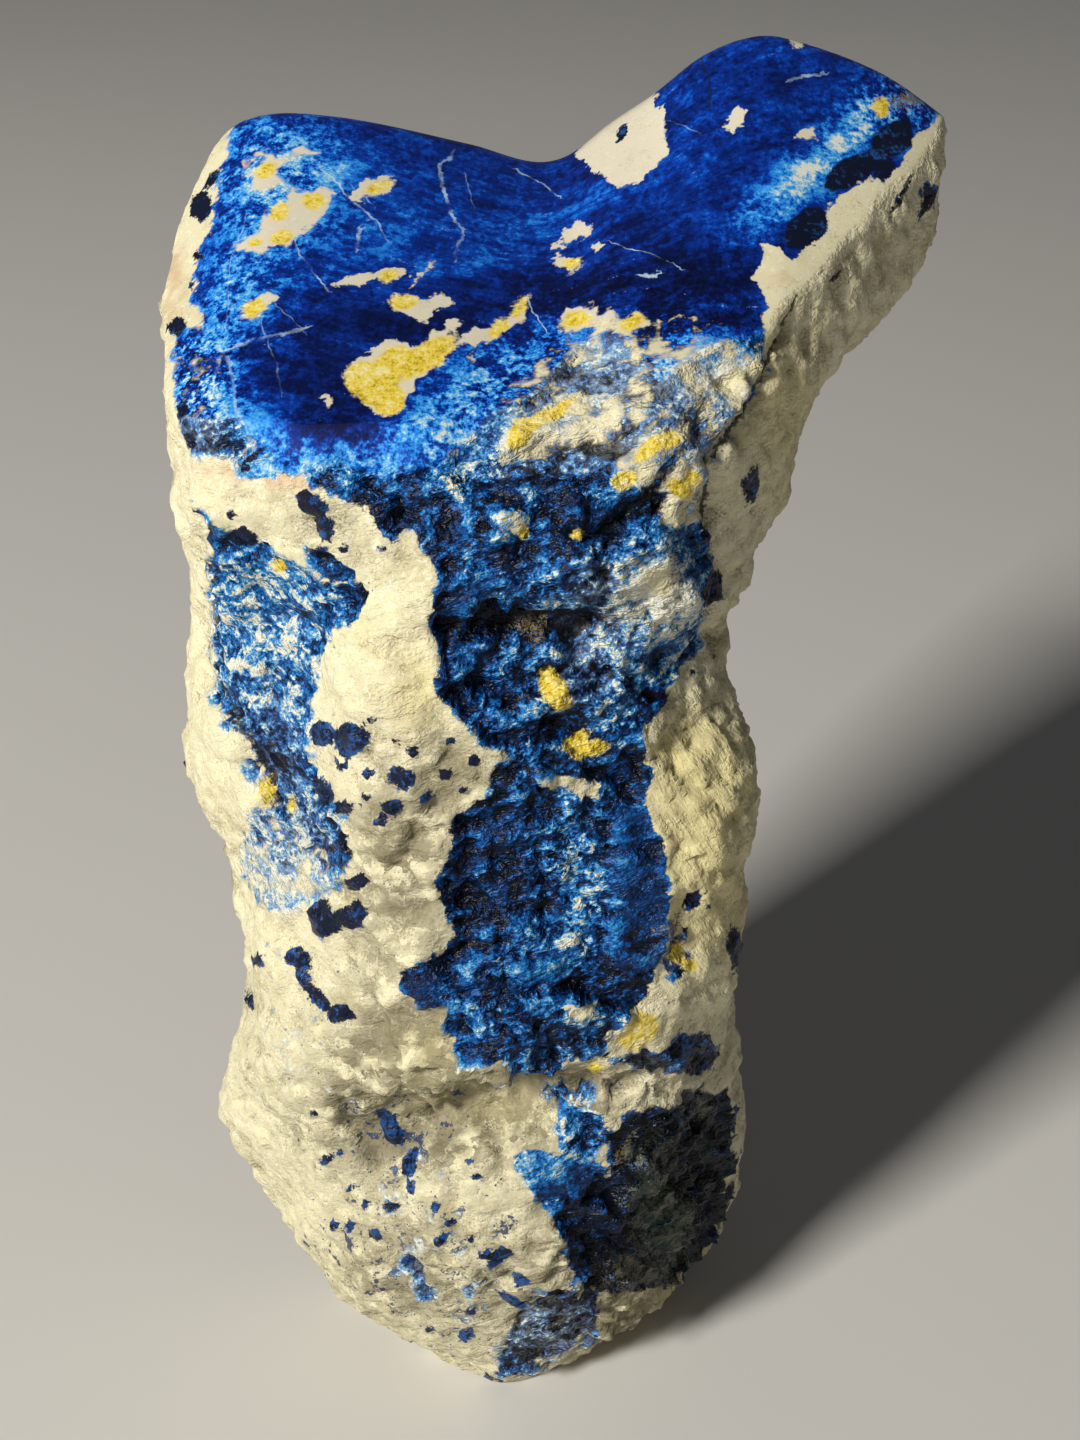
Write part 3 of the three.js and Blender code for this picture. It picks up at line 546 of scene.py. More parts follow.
# How its leaves and fibres slant, in degrees, and their proportions; where the polish's streaks turn.
LEAFY = -16, (2.4, 1.4, 1.0)
FIBROUS = 58, (3.8, 1.25, 0.9)
SWEEP_MIDDLE = 12.0
SWEEP_BEND = -0.006
# How far under the polish the stone still looks polished, and is flat, in mm.
POLISH_NEAR = -4.0, -0.4
POLISH_FLAT = -0.25, -0.05
# Where thin lines fade, in their half widths and in mm.
LINE_EDGE = 1.5, 0.5
LINE_NEAR = 0.85, 0.5

# The stage, in metres.
KEY_PLACE = -1.14, -1.27, 1.20
KEY_TARGET = 0.0, 0.0, 0.11
KEY_SIZE = 0.34
KEY_COLOUR = 1.0, 0.965, 0.89
WORLD_COLOUR = 0.86, 0.87, 0.90, 1
LENS = 50
SENSOR_HEIGHT = 36


class StoneSettings(bpy.types.PropertyGroup):
    """Sizes and colours of the stone."""

    voxel: bpy.props.FloatProperty(
        name="Mesh size", description="Size of the mesh's cells", default=0.00091, min=0.0008, max=0.003,
        unit="LENGTH", precision=5)
    lump: bpy.props.FloatProperty(
        name="Lumps", description="Height of the soft lumps on the pale stone", default=0.00085,
        unit="LENGTH", precision=5)
    leaf: bpy.props.FloatProperty(
        name="Leaves", description="Height of the broken leaves on the blue stone", default=0.0008,
        unit="LENGTH", precision=5)
    facet: bpy.props.FloatProperty(
        name="Broken faces", description="How strongly the blue stone breaks into small leaning faces",
        default=1.0, min=0, max=3)
    grain: bpy.props.FloatProperty(
        name="Grain", description="Height of the fine grain all over the rough faces", default=0.00016,
        unit="LENGTH", precision=5)
    blob: bpy.props.FloatProperty(
        name="Dark blobs", description="How far the dark blobs stand out", default=0.0006, unit="LENGTH",
        precision=5)
    pale: bpy.props.FloatVectorProperty(
        name="Calcite", description="Colour of the pale stone", subtype="COLOR", size=3, min=0, max=1,
        default=(0.73, 0.675, 0.46))
    tan: bpy.props.FloatVectorProperty(
        name="Tan", description="Colour of the stains in the pale stone", subtype="COLOR", size=3, min=0,
        max=1, default=(0.60, 0.42, 0.26))
    dark: bpy.props.FloatVectorProperty(
        name="Dark blobs' colour", description="Colour of the dark blobs", subtype="COLOR", size=3, min=0,
        max=1, default=(0.004, 0.007, 0.024))
    yellow: bpy.props.FloatVectorProperty(
        name="Yellow", description="Colour of the yellow spots", subtype="COLOR", size=3, min=0, max=1,
        default=(0.72, 0.53, 0.04))
    vein: bpy.props.FloatVectorProperty(
        name="Veins", description="Colour of the thin veins in the polish", subtype="COLOR", size=3, min=0,
        max=1, default=(0.50, 0.68, 0.80))


class StageSettings(bpy.types.PropertyGroup):
    """The floor and the lights."""

    floor: bpy.props.FloatVectorProperty(
        name="Floor", description="Colour of the floor", subtype="COLOR", size=3, min=0, max=1,
        default=(0.66, 0.65, 0.63))
    floor_size: bpy.props.FloatProperty(
        name="Floor size", description="Width of the floor", default=8.0, unit="LENGTH")
    key: bpy.props.FloatProperty(
        name="Key light", description="Power of the soft light from the upper left", default=53.0,
        subtype="POWER")
    fill: bpy.props.FloatProperty(
        name="Fill light", description="Strength of the even light from all round", default=0.075, min=0)


# ---------------------------------------------------------------------------------------------------------
# Shapes


def along(points, t):
    """Values of a smooth line through (t, value) points, held level past its ends."""
    knots = np.array(points, float)
    slopes = np.diff(knots[:, 1]) / np.diff(knots[:, 0])
    wide = knots[2:] - knots[:-2]
    tangents = np.concatenate(([slopes[0]], wide[:, 1] / wide[:, 0], [slopes[-1]]))
    t = np.clip(t, knots[0, 0], knots[-1, 0])
    i = np.clip(np.searchsorted(knots[:, 0], t) - 1, 0, len(knots) - 2)
    span = knots[i + 1, 0] - knots[i, 0]
    s = (t - knots[i, 0]) / span
    rest = 1 - s
    ends = rest * rest * (1 + 2 * s) * knots[i, 1] + s * s * (3 - 2 * s) * knots[i + 1, 1]
    return ends + span * s * rest * (rest * tangents[i] - s * tangents[i + 1])


def polished_height(places):
    """Height of the polished top over or under each place."""
    x, ahead = places[:, 0], RIDGE_Y - places[:, 1]
    front, back = along(RIDGE_FALL, x) * ahead, -BACK_FALL * ahead
    blend = np.maximum(RIDGE_ROUND - np.abs(front - back), 0) / RIDGE_ROUND
    return along(RIDGE_HEIGHT, x) - np.maximum(front, back) - blend * blend * RIDGE_ROUND / 4


def smoothstep(low, high, value):
    """0 below low and 1 above high, rounded between."""
    t = np.clip((value - low) / (high - low), 0, 1)
    return t * t * (3 - 2 * t)


def stretches(points, across, down):
    """Each straight stretch of a line: its start, its run, and how far every place is off it, both ways."""
    for (x0, y0), (x1, y1) in zip(points, points[1:]):
        dx, dy = x1 - x0, y1 - y0
        t = np.clip(((across - x0) * dx + (down - y0) * dy) / (dx * dx + dy * dy), 0, 1)
        yield x0, y0, dx, dy, across - x0 - t * dx, down - y0 - t * dy


def outline_depth(outline, across, down):
    """How far inside a closed outline each place lies, in mm."""
    nearest = np.full(across.shape, np.inf)
    inside = np.zeros(across.shape, bool)
    for x0, y0, dx, dy, right, low in stretches(outline + outline[:1], across, down):
        nearest = np.minimum(nearest, right**2 + low**2)
        if dy:
            inside ^= ((y0 > down) != (y0 + dy > down)) & (across < x0 + (down - y0) * dx / dy)
    return np.where(inside, SHEET_STEP, -SHEET_STEP) * np.sqrt(nearest)


def deepest(outlines, across, down):
    """How far inside the nearest of some outlines each place lies, in mm."""
    depth = np.full(across.shape, OUTSIDE)
    for outline in outlines:
        depth = np.maximum(depth, outline_depth(outline, across, down))
    return depth


def oval_radius(across, down, x, y, long, wide, turn=0):
    """Distance from an oval's middle, as a share of the way to its edge."""
    c, s = math.cos(math.radians(turn)), math.sin(math.radians(turn))
    right, low = across - x, down - y
    return np.hypot((right * c - low * s) / long, (right * s + low * c) / wide)


def oval_depth(ovals, across, down):
    """How far inside the nearest oval each place lies, in mm."""
    depth = np.full(across.shape, OUTSIDE)
    for x, y, long, wide, *turn in ovals:
        radius = oval_radius(across, down, x, y, long, wide, *turn)
        depth = np.maximum(depth, (1 - radius) * min(long, wide) * SHEET_STEP)
    return depth


def soft_sum(ovals, across, down):
    """Sum of the soft ovals' amounts at each place."""
    total = np.zeros(across.shape)
    for x, y, long, wide, amount, *turn in ovals:
        total += amount * np.exp(-oval_radius(across, down, x, y, long, wide, *turn) ** 2)
    return total


def line_sides(lines, across, down):
    """Which side of the nearest thin line each place lies on and how far, in its half widths, and in mm."""
    nearest, side = np.full(across.shape, np.inf), np.full(across.shape, SIDE_LIMIT)
    for half, *points in lines:
        for x0, y0, dx, dy, right, low in stretches(points, across, down):
            distance = np.hypot(right, low) * SHEET_STEP
            turned = np.sign(dx * (down - y0) - dy * (across - x0))
            side = np.where(distance < nearest, turned * distance / half, side)
            nearest = np.minimum(nearest, distance)
    return np.clip(side, -SIDE_LIMIT, SIDE_LIMIT), np.minimum(nearest, LINE_REACH)


def line_swell(line, across, down):
    """How far a raised or sunken line pushes each place out, in mm."""
    height, reach, *points = line
    nearest = np.full(across.shape, np.inf)
    for *_, right, low in stretches(points, across, down):
        nearest = np.minimum(nearest, right**2 + low**2)
    return height * np.exp(-((np.sqrt(nearest) * SHEET_STEP / reach) ** 2))


def lump_depth(lumps, places):
    """How far inside the nearest of the far lumps each place lies, in mm."""
    depth = np.full(len(places), OUTSIDE)
    for middle, halves in lumps:
        radius = np.linalg.norm((places - middle) / halves, axis=1)
        depth = np.maximum(depth, (1 - radius) * min(halves))
    return depth


def sampled(places, function):
    """A function's value at each place."""
    return np.array([function(Vector(place)) for place in places])


def noise_at(places, per_mm, shift=(0, 0, 0)):
    """Noise about 0 at each place, its features 1 / per_mm across."""
    moved = Vector(shift)
    return sampled(places, lambda p: noise.noise(p * per_mm + moved))


def octaves_at(places, per_mm, count, rest, shift=(0, 0, 0)):
    """Noise about 0 of features 1 / per_mm across and finer ones."""
    moved = Vector(shift)

    def layers(place):
        total = share = 0.0
        for i in range(count):
            total += rest**i * noise.noise((place + moved) * per_mm * 2**i)
            share += rest**i
        return total / share / 2

    return sampled(places, layers)


def sheet_places(places):
    """Where each place lies on the sheet, across and down in its own steps."""
    from_eye = places - np.array(EYE)
    c, s = math.cos(EYE_TILT), math.sin(EYE_TILT)
    depth = from_eye[:, 1] * c - from_eye[:, 2] * s
    up = from_eye[:, 1] * s + from_eye[:, 2] * c
    scale = SHEET_DISTANCE / depth / SHEET_STEP
    return SHEET_MIDDLE[0] + from_eye[:, 0] * scale, SHEET_MIDDLE[1] - up * scale


def even_mesh(node, size):
    """A mesh of even cells over a merged copy of a CAD node."""
    bm = bmesh.new()
    bm.from_mesh(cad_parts[node].data)
    bmesh.ops.remove_doubles(bm, verts=bm.verts, dist=1e-6)
    mesh = bpy.data.meshes.new(node + "_cells")
    bm.to_mesh(mesh)
    bm.free()
    rough = bpy.data.objects.new(node + "_cells", mesh)
    bpy.context.scene.collection.objects.link(rough)
    remesh = rough.modifiers.new("even cells", "REMESH")
    remesh.mode = "VOXEL"
    remesh.voxel_size = size
    cells = bpy.data.meshes.new_from_object(rough.evaluated_get(bpy.context.evaluated_depsgraph_get()))
    bpy.data.objects.remove(rough)
    bpy.data.meshes.remove(mesh)
    return cells


def soften(mesh):
    """Smooths a mesh's facets away."""
    bm = bmesh.new()
    bm.from_mesh(mesh)
    for _ in range(SOFTEN_PASSES):
        bmesh.ops.smooth_vert(
            bm, verts=bm.verts, factor=0.5, use_axis_x=True, use_axis_y=True, use_axis_z=True)
    bm.to_mesh(mesh)
    bm.free()


def read_mesh(mesh):
    """The mesh's places, in mm, and its normals."""
    places = np.empty(len(mesh.vertices) * 3)
    mesh.vertices.foreach_get("co", places)
    normals = np.empty(len(mesh.vertices) * 3)
    mesh.vertex_normals.foreach_get("vector", normals)
    return places.reshape(-1, 3) / MM, normals.reshape(-1, 3)


def write_fields(mesh, fields):
    """Writes the fields as vector attributes, three to each."""
    for name, parts in FIELD_SETS.items():
        values = np.stack([fields[part] for part in parts], axis=1).astype(np.float32)
        mesh.attributes.new(name, "FLOAT_VECTOR", "POINT").data.foreach_set("vector", values.ravel())


def near_fields(sheet, steady, above):
    """The minerals on the front, as they are laid out on the sheet: depths in mm, and amounts."""
    top = outline_depth(BLUE_TOP, *sheet)
    blue = top
    for solid, *outline in BLUE_GROUND:
        blue = np.maximum(blue, np.minimum(outline_depth(outline, *sheet), solid))
    blue = np.minimum(blue, -deepest(PALE_PATCHES, *sheet))
    blue = np.minimum(blue, np.maximum(-deepest(PALE_HEAPS, *sheet), -HEAP_DEPTH))
    return {
        "blue": blue,
        "vivid": smoothstep(*VIVID_INSIDE, top) * smoothstep(*VIVID_BELOW, above),
        "calm": smoothstep(*CALM_INSIDE, deepest(SMOOTH_FACES, *sheet)),
        "dark": oval_depth(DARK_BLOBS, *steady),
        "yellow": oval_depth(YELLOW_SPOTS, *steady) + YELLOW_SPREAD,
        "brown": oval_depth(BROWN_SPOTS, *steady),
        "tone": PLAIN_TONE + soft_sum(TONES, *sheet),
        "mingling": PLAIN_MINGLING + soft_sum(MINGLING, *sheet),
        "tint": soft_sum(TINTS, *sheet),
        "coarse": np.minimum(soft_sum(COARSE_AND_SHADED, *sheet), MOST_COARSE),
        "flecks": np.minimum(soft_sum(FLECKS, *sheet), MOST_FLECKS),
        "fibres": smoothstep(*FIBRES_EDGE, soft_sum(FIBRES, *sheet)),
    }


def far_fields(places, wobble, on_polish):
    """The minerals on the sides that the sheet doesn't reach."""
    warped = places + 0.6 * np.stack([wobble[0], wobble[1], wobble[0] - wobble[1]], axis=1)
    spots = np.minimum(noise_at(places, 0.10, (5, 5, 5)) * 14 - 6.5, 0.6)
    blue = np.maximum(lump_depth(FAR_BLUE, warped), spots)
    seeds = noise_at(places, 0.06, (2, 6, 7))
    return {
        "blue": np.where(on_polish > 0.5, 3, np.minimum(blue, 3)),
        "vivid": on_polish,
        "calm": np.zeros(len(places)),
        "dark": lump_depth(FAR_DARK, warped),
        "yellow": lump_depth(FAR_YELLOW, warped),
        "brown": np.full(len(places), OUTSIDE),
        "tone": 0.42 + 0.25 * noise_at(places, 0.05),
        "mingling": np.clip(0.9 + 2 * seeds, 0.2, 1.6),
        "tint": noise_at(places, 0.04, (9, 2, 4)) * 1.3,
        "coarse": np.clip(0.55 + 1.8 * seeds, 0, 1.3),
        "flecks": 0.4 + seeds,
        "fibres": smoothstep(0.0, 0.4, seeds),
    }


def mineral_fields(places, normals):
    """The minerals at each place, where it lies on the sheet, and how well the eye sees it."""
    view = np.array(EYE) - places
    view /= np.linalg.norm(view, axis=1)[:, None]
    seen = smoothstep(*FACING_EYE, (normals * view).sum(axis=1))
    above = places[:, 2] - polished_height(places)
    wobble = [
        sum(noise_at(places, per_mm, shift) * steps for per_mm, steps in WOBBLES)
        for shift in WOBBLE_SHIFTS
    ]
    plain = sheet_places(places)
    steady = [place + STEADY * aside for place, aside in zip(plain, wobble)]
    sheet = [place + aside for place, aside in zip(plain, wobble)]

    near = near_fields(sheet, steady, above)
    far = far_fields(places, wobble, smoothstep(*ON_POLISH, above))
    fields = {}
    for name in near:
        shown, hidden = (np.clip(side[name], -FIELD_LIMIT, FIELD_LIMIT) for side in (near, far))
        fields[name] = shown * seen + hidden * (1 - seen)
    for name, layers in HELD_NOISE.items():
        fields[name] = octaves_at(places, *layers)
    for name, lines in (("vein", PALE_VEINS), ("cross", CROSS_VEINS), ("crack_and_shadow", CRACK_AND_SHADOW_LINES)):
        fields[name], distance = line_sides(lines, *steady)
        fields[name + "_near"] = np.where(seen > LINES_SEEN, distance, LINE_REACH)
    return fields, sheet, smoothstep(*RELIEF_SEEN, seen)


def broken_face(place, size, tilt):
    """Height of a broken face that leans its own way in each cell of about this size."""
    middle = noise.voronoi(place / size)[1][0]
    lean = noise.cell_vector(middle * 7.3)
    return max(-0.9, min(0.9, (place - middle * size).dot(lean) * tilt))


def leaf_edges(place):
    """Height of overlapping leaves: each rises slowly and breaks off at its lower edge."""
    level = place.z + 0.9 * noise.noise(place * 0.8)
    return (math.ceil(level) - level - 0.5) * (0.55 + noise.noise(place * 0.6 + Vector((4, 4, 4))))


def relief(places, fields, sheet, seen, settings):
    """How far each place of the rough faces stands out, in mm."""
    lump, leaf, grain_height = settings.lump / MM, settings.leaf / MM, settings.grain / MM
    on_blue = smoothstep(*BLUE_EDGE, fields["blue"])
    coarse, mingling = (np.clip(fields[name], 0, 1) for name in ("coarse", "mingling"))
    broken_up = np.clip(on_blue + 0.5 * fields["coarse"], 0, 1.2)
    soft = sampled(places, lambda p: noise.fractal(p / LUMP_LENGTH, 0.9, 2.1, 3))
    broken = sampled(places, lambda p: sum(broken_face(p, size, tilt) for size, tilt in BROKEN_FACES))
    fine = sampled(places, lambda p: noise.fractal(p / GRAIN_LENGTH, 0.6, 2.0, 3))
    x, y, z = places.T
    slant = np.stack([x * LEAF_RUN + z * LEAF_RISE, y, z * LEAF_RUN - x * LEAF_RISE], axis=1) / LEAF_SIZE
    leaves = sampled(slant, lambda p: noise.ridged_multi_fractal(p, 0.9, 2.1, 3, 1.0, 1.8)) - 1.1
    edges = sampled(slant * (0.7, 0.7, 1.25), leaf_edges)
    pits = noise_at(places, 1 / PIT_LENGTH, (3, 8, 1))
    push = lump * soft * (1 - 0.4 * on_blue)
    push += settings.facet * broken * (0.35 + 0.65 * broken_up) * (1 - 0.4 * mingling)
    push += leaf * (0.6 * leaves + 1.1 * edges) * (0.22 + 0.78 * broken_up)
    push += grain_height * fine * (1.5 + 4 * coarse)
    push -= PIT_DEPTH * smoothstep(*PIT_EDGE, pits) * (1 - on_blue)
    push -= BLUE_SINK * smoothstep(*SINK_EDGE, fields["blue"])
    push += settings.blob / MM * smoothstep(*BLOB_EDGE, fields["dark"]) * (1 - on_blue)
    push *= 1 - 0.75 * np.maximum(fields["vivid"], fields["calm"])
    push += soft_sum(SWELLS, *sheet) * seen
    for line in RAISED_LINES:
        push += line_swell(line, *sheet) * seen
    return push


def evened(mesh, values, times):
    """Values averaged over each vertex's neighbours, so many times over."""
    ends = np.empty(len(mesh.edges) * 2, dtype=np.int32)
    mesh.edges.foreach_get("vertices", ends)
    first, second = ends[0::2], ends[1::2]
    count = np.bincount(ends, minlength=len(values))
    for _ in range(times):
        total = np.bincount(first, values[second], len(values))
        total += np.bincount(second, values[first], len(values))
        values = (values + total) / (1 + count)
    return values


def stone_mesh(settings):
    """The stone's finished mesh, with its minerals as attributes."""
    mesh = even_mesh(STONE_NODE, settings.voxel)
    soften(mesh)
    places, normals = read_mesh(mesh)
    up = polished_height(places) - places[:, 2]
    places[:, 2] += up * smoothstep(*LAID_WHERE_LEVEL, normals[:, 2]) * smoothstep(*LAID_WITHIN, np.abs(up))
    fields, sheet, seen = mineral_fields(places, normals)
    depth = polished_height(places) - places[:, 2]
    rough = smoothstep(*ROUGH_BELOW_POLISH, depth) * smoothstep(*ROUGH_ABOVE_FOOT, places[:, 2])
    push = relief(places, fields, sheet, seen, settings) * rough
    close = evened(mesh, push, RIDGE_PASSES)
    hollow = evened(mesh, close, HOLLOW_PASSES) - close
    fields["ridge"] = np.clip(push - close, -RIDGE_LIMIT, RIDGE_LIMIT)
    fields["hollow"] = np.clip(hollow, -HOLLOW_LIMIT, HOLLOW_LIMIT)
    places += normals * push[:, None]
    polish = polished_height(places)
    places[:, 2] = np.clip(places[:, 2], 0, polish)
    places[:, 2] = np.where(places[:, 2] < FOOT_FLAT, 0, places[:, 2])
    mesh.vertices.foreach_set("co", (places * MM).ravel())
    mesh.update()
    fields["polish"] = evened(mesh, np.clip(places[:, 2] - polish, -FIELD_LIMIT, 0), RIM_PASSES)
    write_fields(mesh, fields)
    mesh.shade_smooth()
    return mesh


# ---------------------------------------------------------------------------------------------------------
# Materials


class Value:
    """A number, vector or colour in a material. Sums and products of numbers make its math nodes."""

    def __init__(self, socket):
        self.socket = socket
        self.tree = socket.id_data

    def __add__(self, other):
        return math_node(self.tree, "ADD", self, other)

    def __sub__(self, other):
        return math_node(self.tree, "SUBTRACT", self, other)

    def __rsub__(self, other):
        return math_node(self.tree, "SUBTRACT", other, self)

    def __mul__(self, other):
        return math_node(self.tree, "MULTIPLY", self, other)

    def __truediv__(self, other):
        return math_node(self.tree, "DIVIDE", self, other)

    def __abs__(self):
        return math_node(self.tree, "ABSOLUTE", self)


def fill(node, inputs):
    """Links a node's inputs to values, or sets them."""
    for name, value in inputs.items():
        if isinstance(value, Value):
            value.tree.links.new(value.socket, node.inputs[name])
        else:
            node.inputs[name].default_value = value


def add(tree, kind, inputs, output=0, **settings):
    """One output of a new shader node, which has these settings and inputs."""
    made = tree.nodes.new(kind)
    for name, value in settings.items():
        setattr(made, name, value)
    fill(made, inputs)
    return Value(made.outputs[output])


def math_node(tree, operation, *values):
    """A sum, product or the like of numbers."""
    return add(tree, "ShaderNodeMath", dict(enumerate(values)), operation=operation)


def larger(first, second):
    """The larger of two numbers."""
    return math_node(first.tree, "MAXIMUM", first, second)


def smaller(first, second):
    """The smaller of two numbers."""
    return math_node(first.tree, "MINIMUM", first, second)


def vectors(operation, first, *others, output=0):
    """A sum, product or the like of vectors."""
    return add(
        first.tree, "ShaderNodeVectorMath", dict(enumerate((first, *others))), output, operation=operation)


def split(vector):
    """A vector's three parts."""
    made = vector.tree.nodes.new("ShaderNodeSeparateXYZ")
    fill(made, {0: vector})
    return [Value(socket) for socket in made.outputs]


def joined(*parts):
    """A vector of three parts."""
    return add(parts[0].tree, "ShaderNodeCombineXYZ", dict(enumerate(parts)))


def read_fields(tree):
    """The mesh's fields by name."""
    fields = {}
    for name, parts in FIELD_SETS.items():
        held = add(tree, "ShaderNodeAttribute", {}, "Vector", attribute_name=name)
        fields.update(zip(parts, split(held)))
    return fields


def stretched(place, slant, lengths):
    """The place, along axes that slant by so many degrees and are that many times as long."""
    return add(
        place.tree, "ShaderNodeMapping",
        {"Vector": place, "Rotation": (0, math.radians(slant), 0), "Scale": lengths},
        vector_type="TEXTURE")


def grain(place, per_mm, detail, roughness):
    """Noise about 0, whose features are 1 / per_mm across."""
    return add(place.tree, "ShaderNodeTexNoise", {
        "Vector": place, "Scale": per_mm, "Detail": detail, "Roughness": roughness}) - 0.5


def ramp(value, low, high):
    """0 at low and 1 at high, rounded between."""
    return add(
        value.tree, "ShaderNodeMapRange", {"Value": value, "From Min": low, "From Max": high},
        interpolation_type="SMOOTHSTEP")


def colours(value, stops):
    """The colour at a value from 0 to 1, through the stops."""
    made = value.tree.nodes.new("ShaderNodeValToRGB")
    fill(made, {"Fac": value})
    band = made.color_ramp
    while len(band.elements) < len(stops):
        band.elements.new(1)
    for element, (position, colour) in zip(band.elements, stops):
        element.position = position
        element.color = (*colour, 1)
    return Value(made.outputs[0])


def mixed(share, first, second, kind="RGBA"):
    """Two colours or two numbers mixed; a colour may be a plain one."""
    made = share.tree.nodes.new("ShaderNodeMix")
    made.data_type = kind
    for name, value in (("Factor", share), ("A", first), ("B", second)):
        index = next(i for i, socket in enumerate(made.inputs) if socket.name == name and socket.enabled)
        fill(made, {index: value if isinstance(value, Value) else (*value, 1)})
    return Value(next(socket for socket in made.outputs if socket.enabled))


def line_mask(fields, name, jitter):
    """1 on the thin lines of this name, 0 beside them."""
    aside = abs(fields[name] + jitter)
    return ramp(aside, *LINE_EDGE) * ramp(fields[name + "_near"], *LINE_NEAR)


def blue_stone(fields, vivid, streak, mixture, cloud, shade):
    """Colour of the lapis, and how much of it shows."""
    mingling, tone, mottle = fields["mingling"], fields["tone"], fields["mottle"]
    part_mingled = smaller(mingling, 1.0)

    # where it shows
    ragged = (streak * 0.45 + mottle * 1.3) * (mingling * 3.4)
    depth = cloud * 1.5 + fields["blue"] + ragged
    shown = ramp(depth / (mingling * 0.30 + 0.10), -1.0, 1.0)
    border = ramp(depth, 1.3, 0.0) * part_mingled * ramp(tone, 0.10, 0.40)

    # its tone
    swing = fields["calm"] * -0.35 + (mingling * 0.45 + 0.64)
    rough_mix = shade * 0.30 + (streak * 1.25 + mixture)
    # lighter on the ridges and darker in the hollows: painted light and painted shade
    rough_tone = rough_mix * swing + (fields["ridge"] * 0.24 + (border * 0.26 + tone))
    rough = colours(fields["hollow"] * -0.07 + rough_tone, ROUGH_BLUES)
    dust = ramp(cloud * 0.6 + (streak + mottle), -0.20, 0.24) * ramp(mingling, 0.7, 1.5)
    rough = mixed(dust * 0.38, rough, DUST)
    smooth_tone = streak * (part_mingled * -0.30 + 0.55) + (border * 0.08 + tone)
    smooth = colours(mixture * (mingling * 0.85 + 0.14) + smooth_tone, SMOOTH_BLUES)
    return mixed(vivid, rough, smooth), shown


def pale_stone(settings, fields, streak, cloud, fine, shade):
    """Colour of the calcite: stained, whitened, weather-stained, tinted and strewn with navy flecks, with
    painted shade in its hollows and on some coarse places, and painted light on its ridges.
    """
    mottle, cream, coarse, flecks = (fields[name] for name in ("mottle", "cream", "coarse", "flecks"))
    stain = mottle * 0.8 + (fields["broad"] + cream)
    pale = mixed(ramp(stain, -0.02, 0.32), settings.pale, BUFF)
    pale = mixed(ramp(cloud, 0.02, 0.24), pale, WHITENED)
    # weathering stain on the coarse places; under the seam's ledge, on the lower right facet and on the
    # right of the middle it is painted shade
    weathering_and_shade = coarse * ramp(shade * 0.25 + (streak * 0.5 + cream), -0.24, 0.10)
    pale = mixed(weathering_and_shade * 0.78, pale, WEATHERED_AND_SHADED)
    # grime, darker as painted shade in the hollows and lighter as painted light on the ridges
    grime_and_hollow_shade = fields["ridge"] * -0.22 + (fine * 0.8 + (mottle * 0.8 + coarse * 0.12))
    pale = mixed(ramp(fields["hollow"] * 0.20 + grime_and_hollow_shade, 0.04, 0.42) * 0.85, pale, GRIME_AND_SHADE)
    pale = mixed(ramp(fields["tint"] * ramp(mottle, -0.25, 0.10), 0.05, 0.8), pale, settings.tan)
    pale = mixed(ramp(fields["tint"], -0.05, -1.0) * 0.8, pale, YELLOWISH)
    specks = ramp(flecks * 0.07 + (fine * 0.3 + cloud), 0.27, 0.32)
    clots = ramp(flecks * 0.12 + (cloud * 0.5 + mottle), 0.30, 0.34)
    pale = mixed(larger(specks, clots) * 0.9, pale, NAVY_FLECK)
    return mixed(fields["vivid"] * 0.6, pale, POLISHED_PALE)


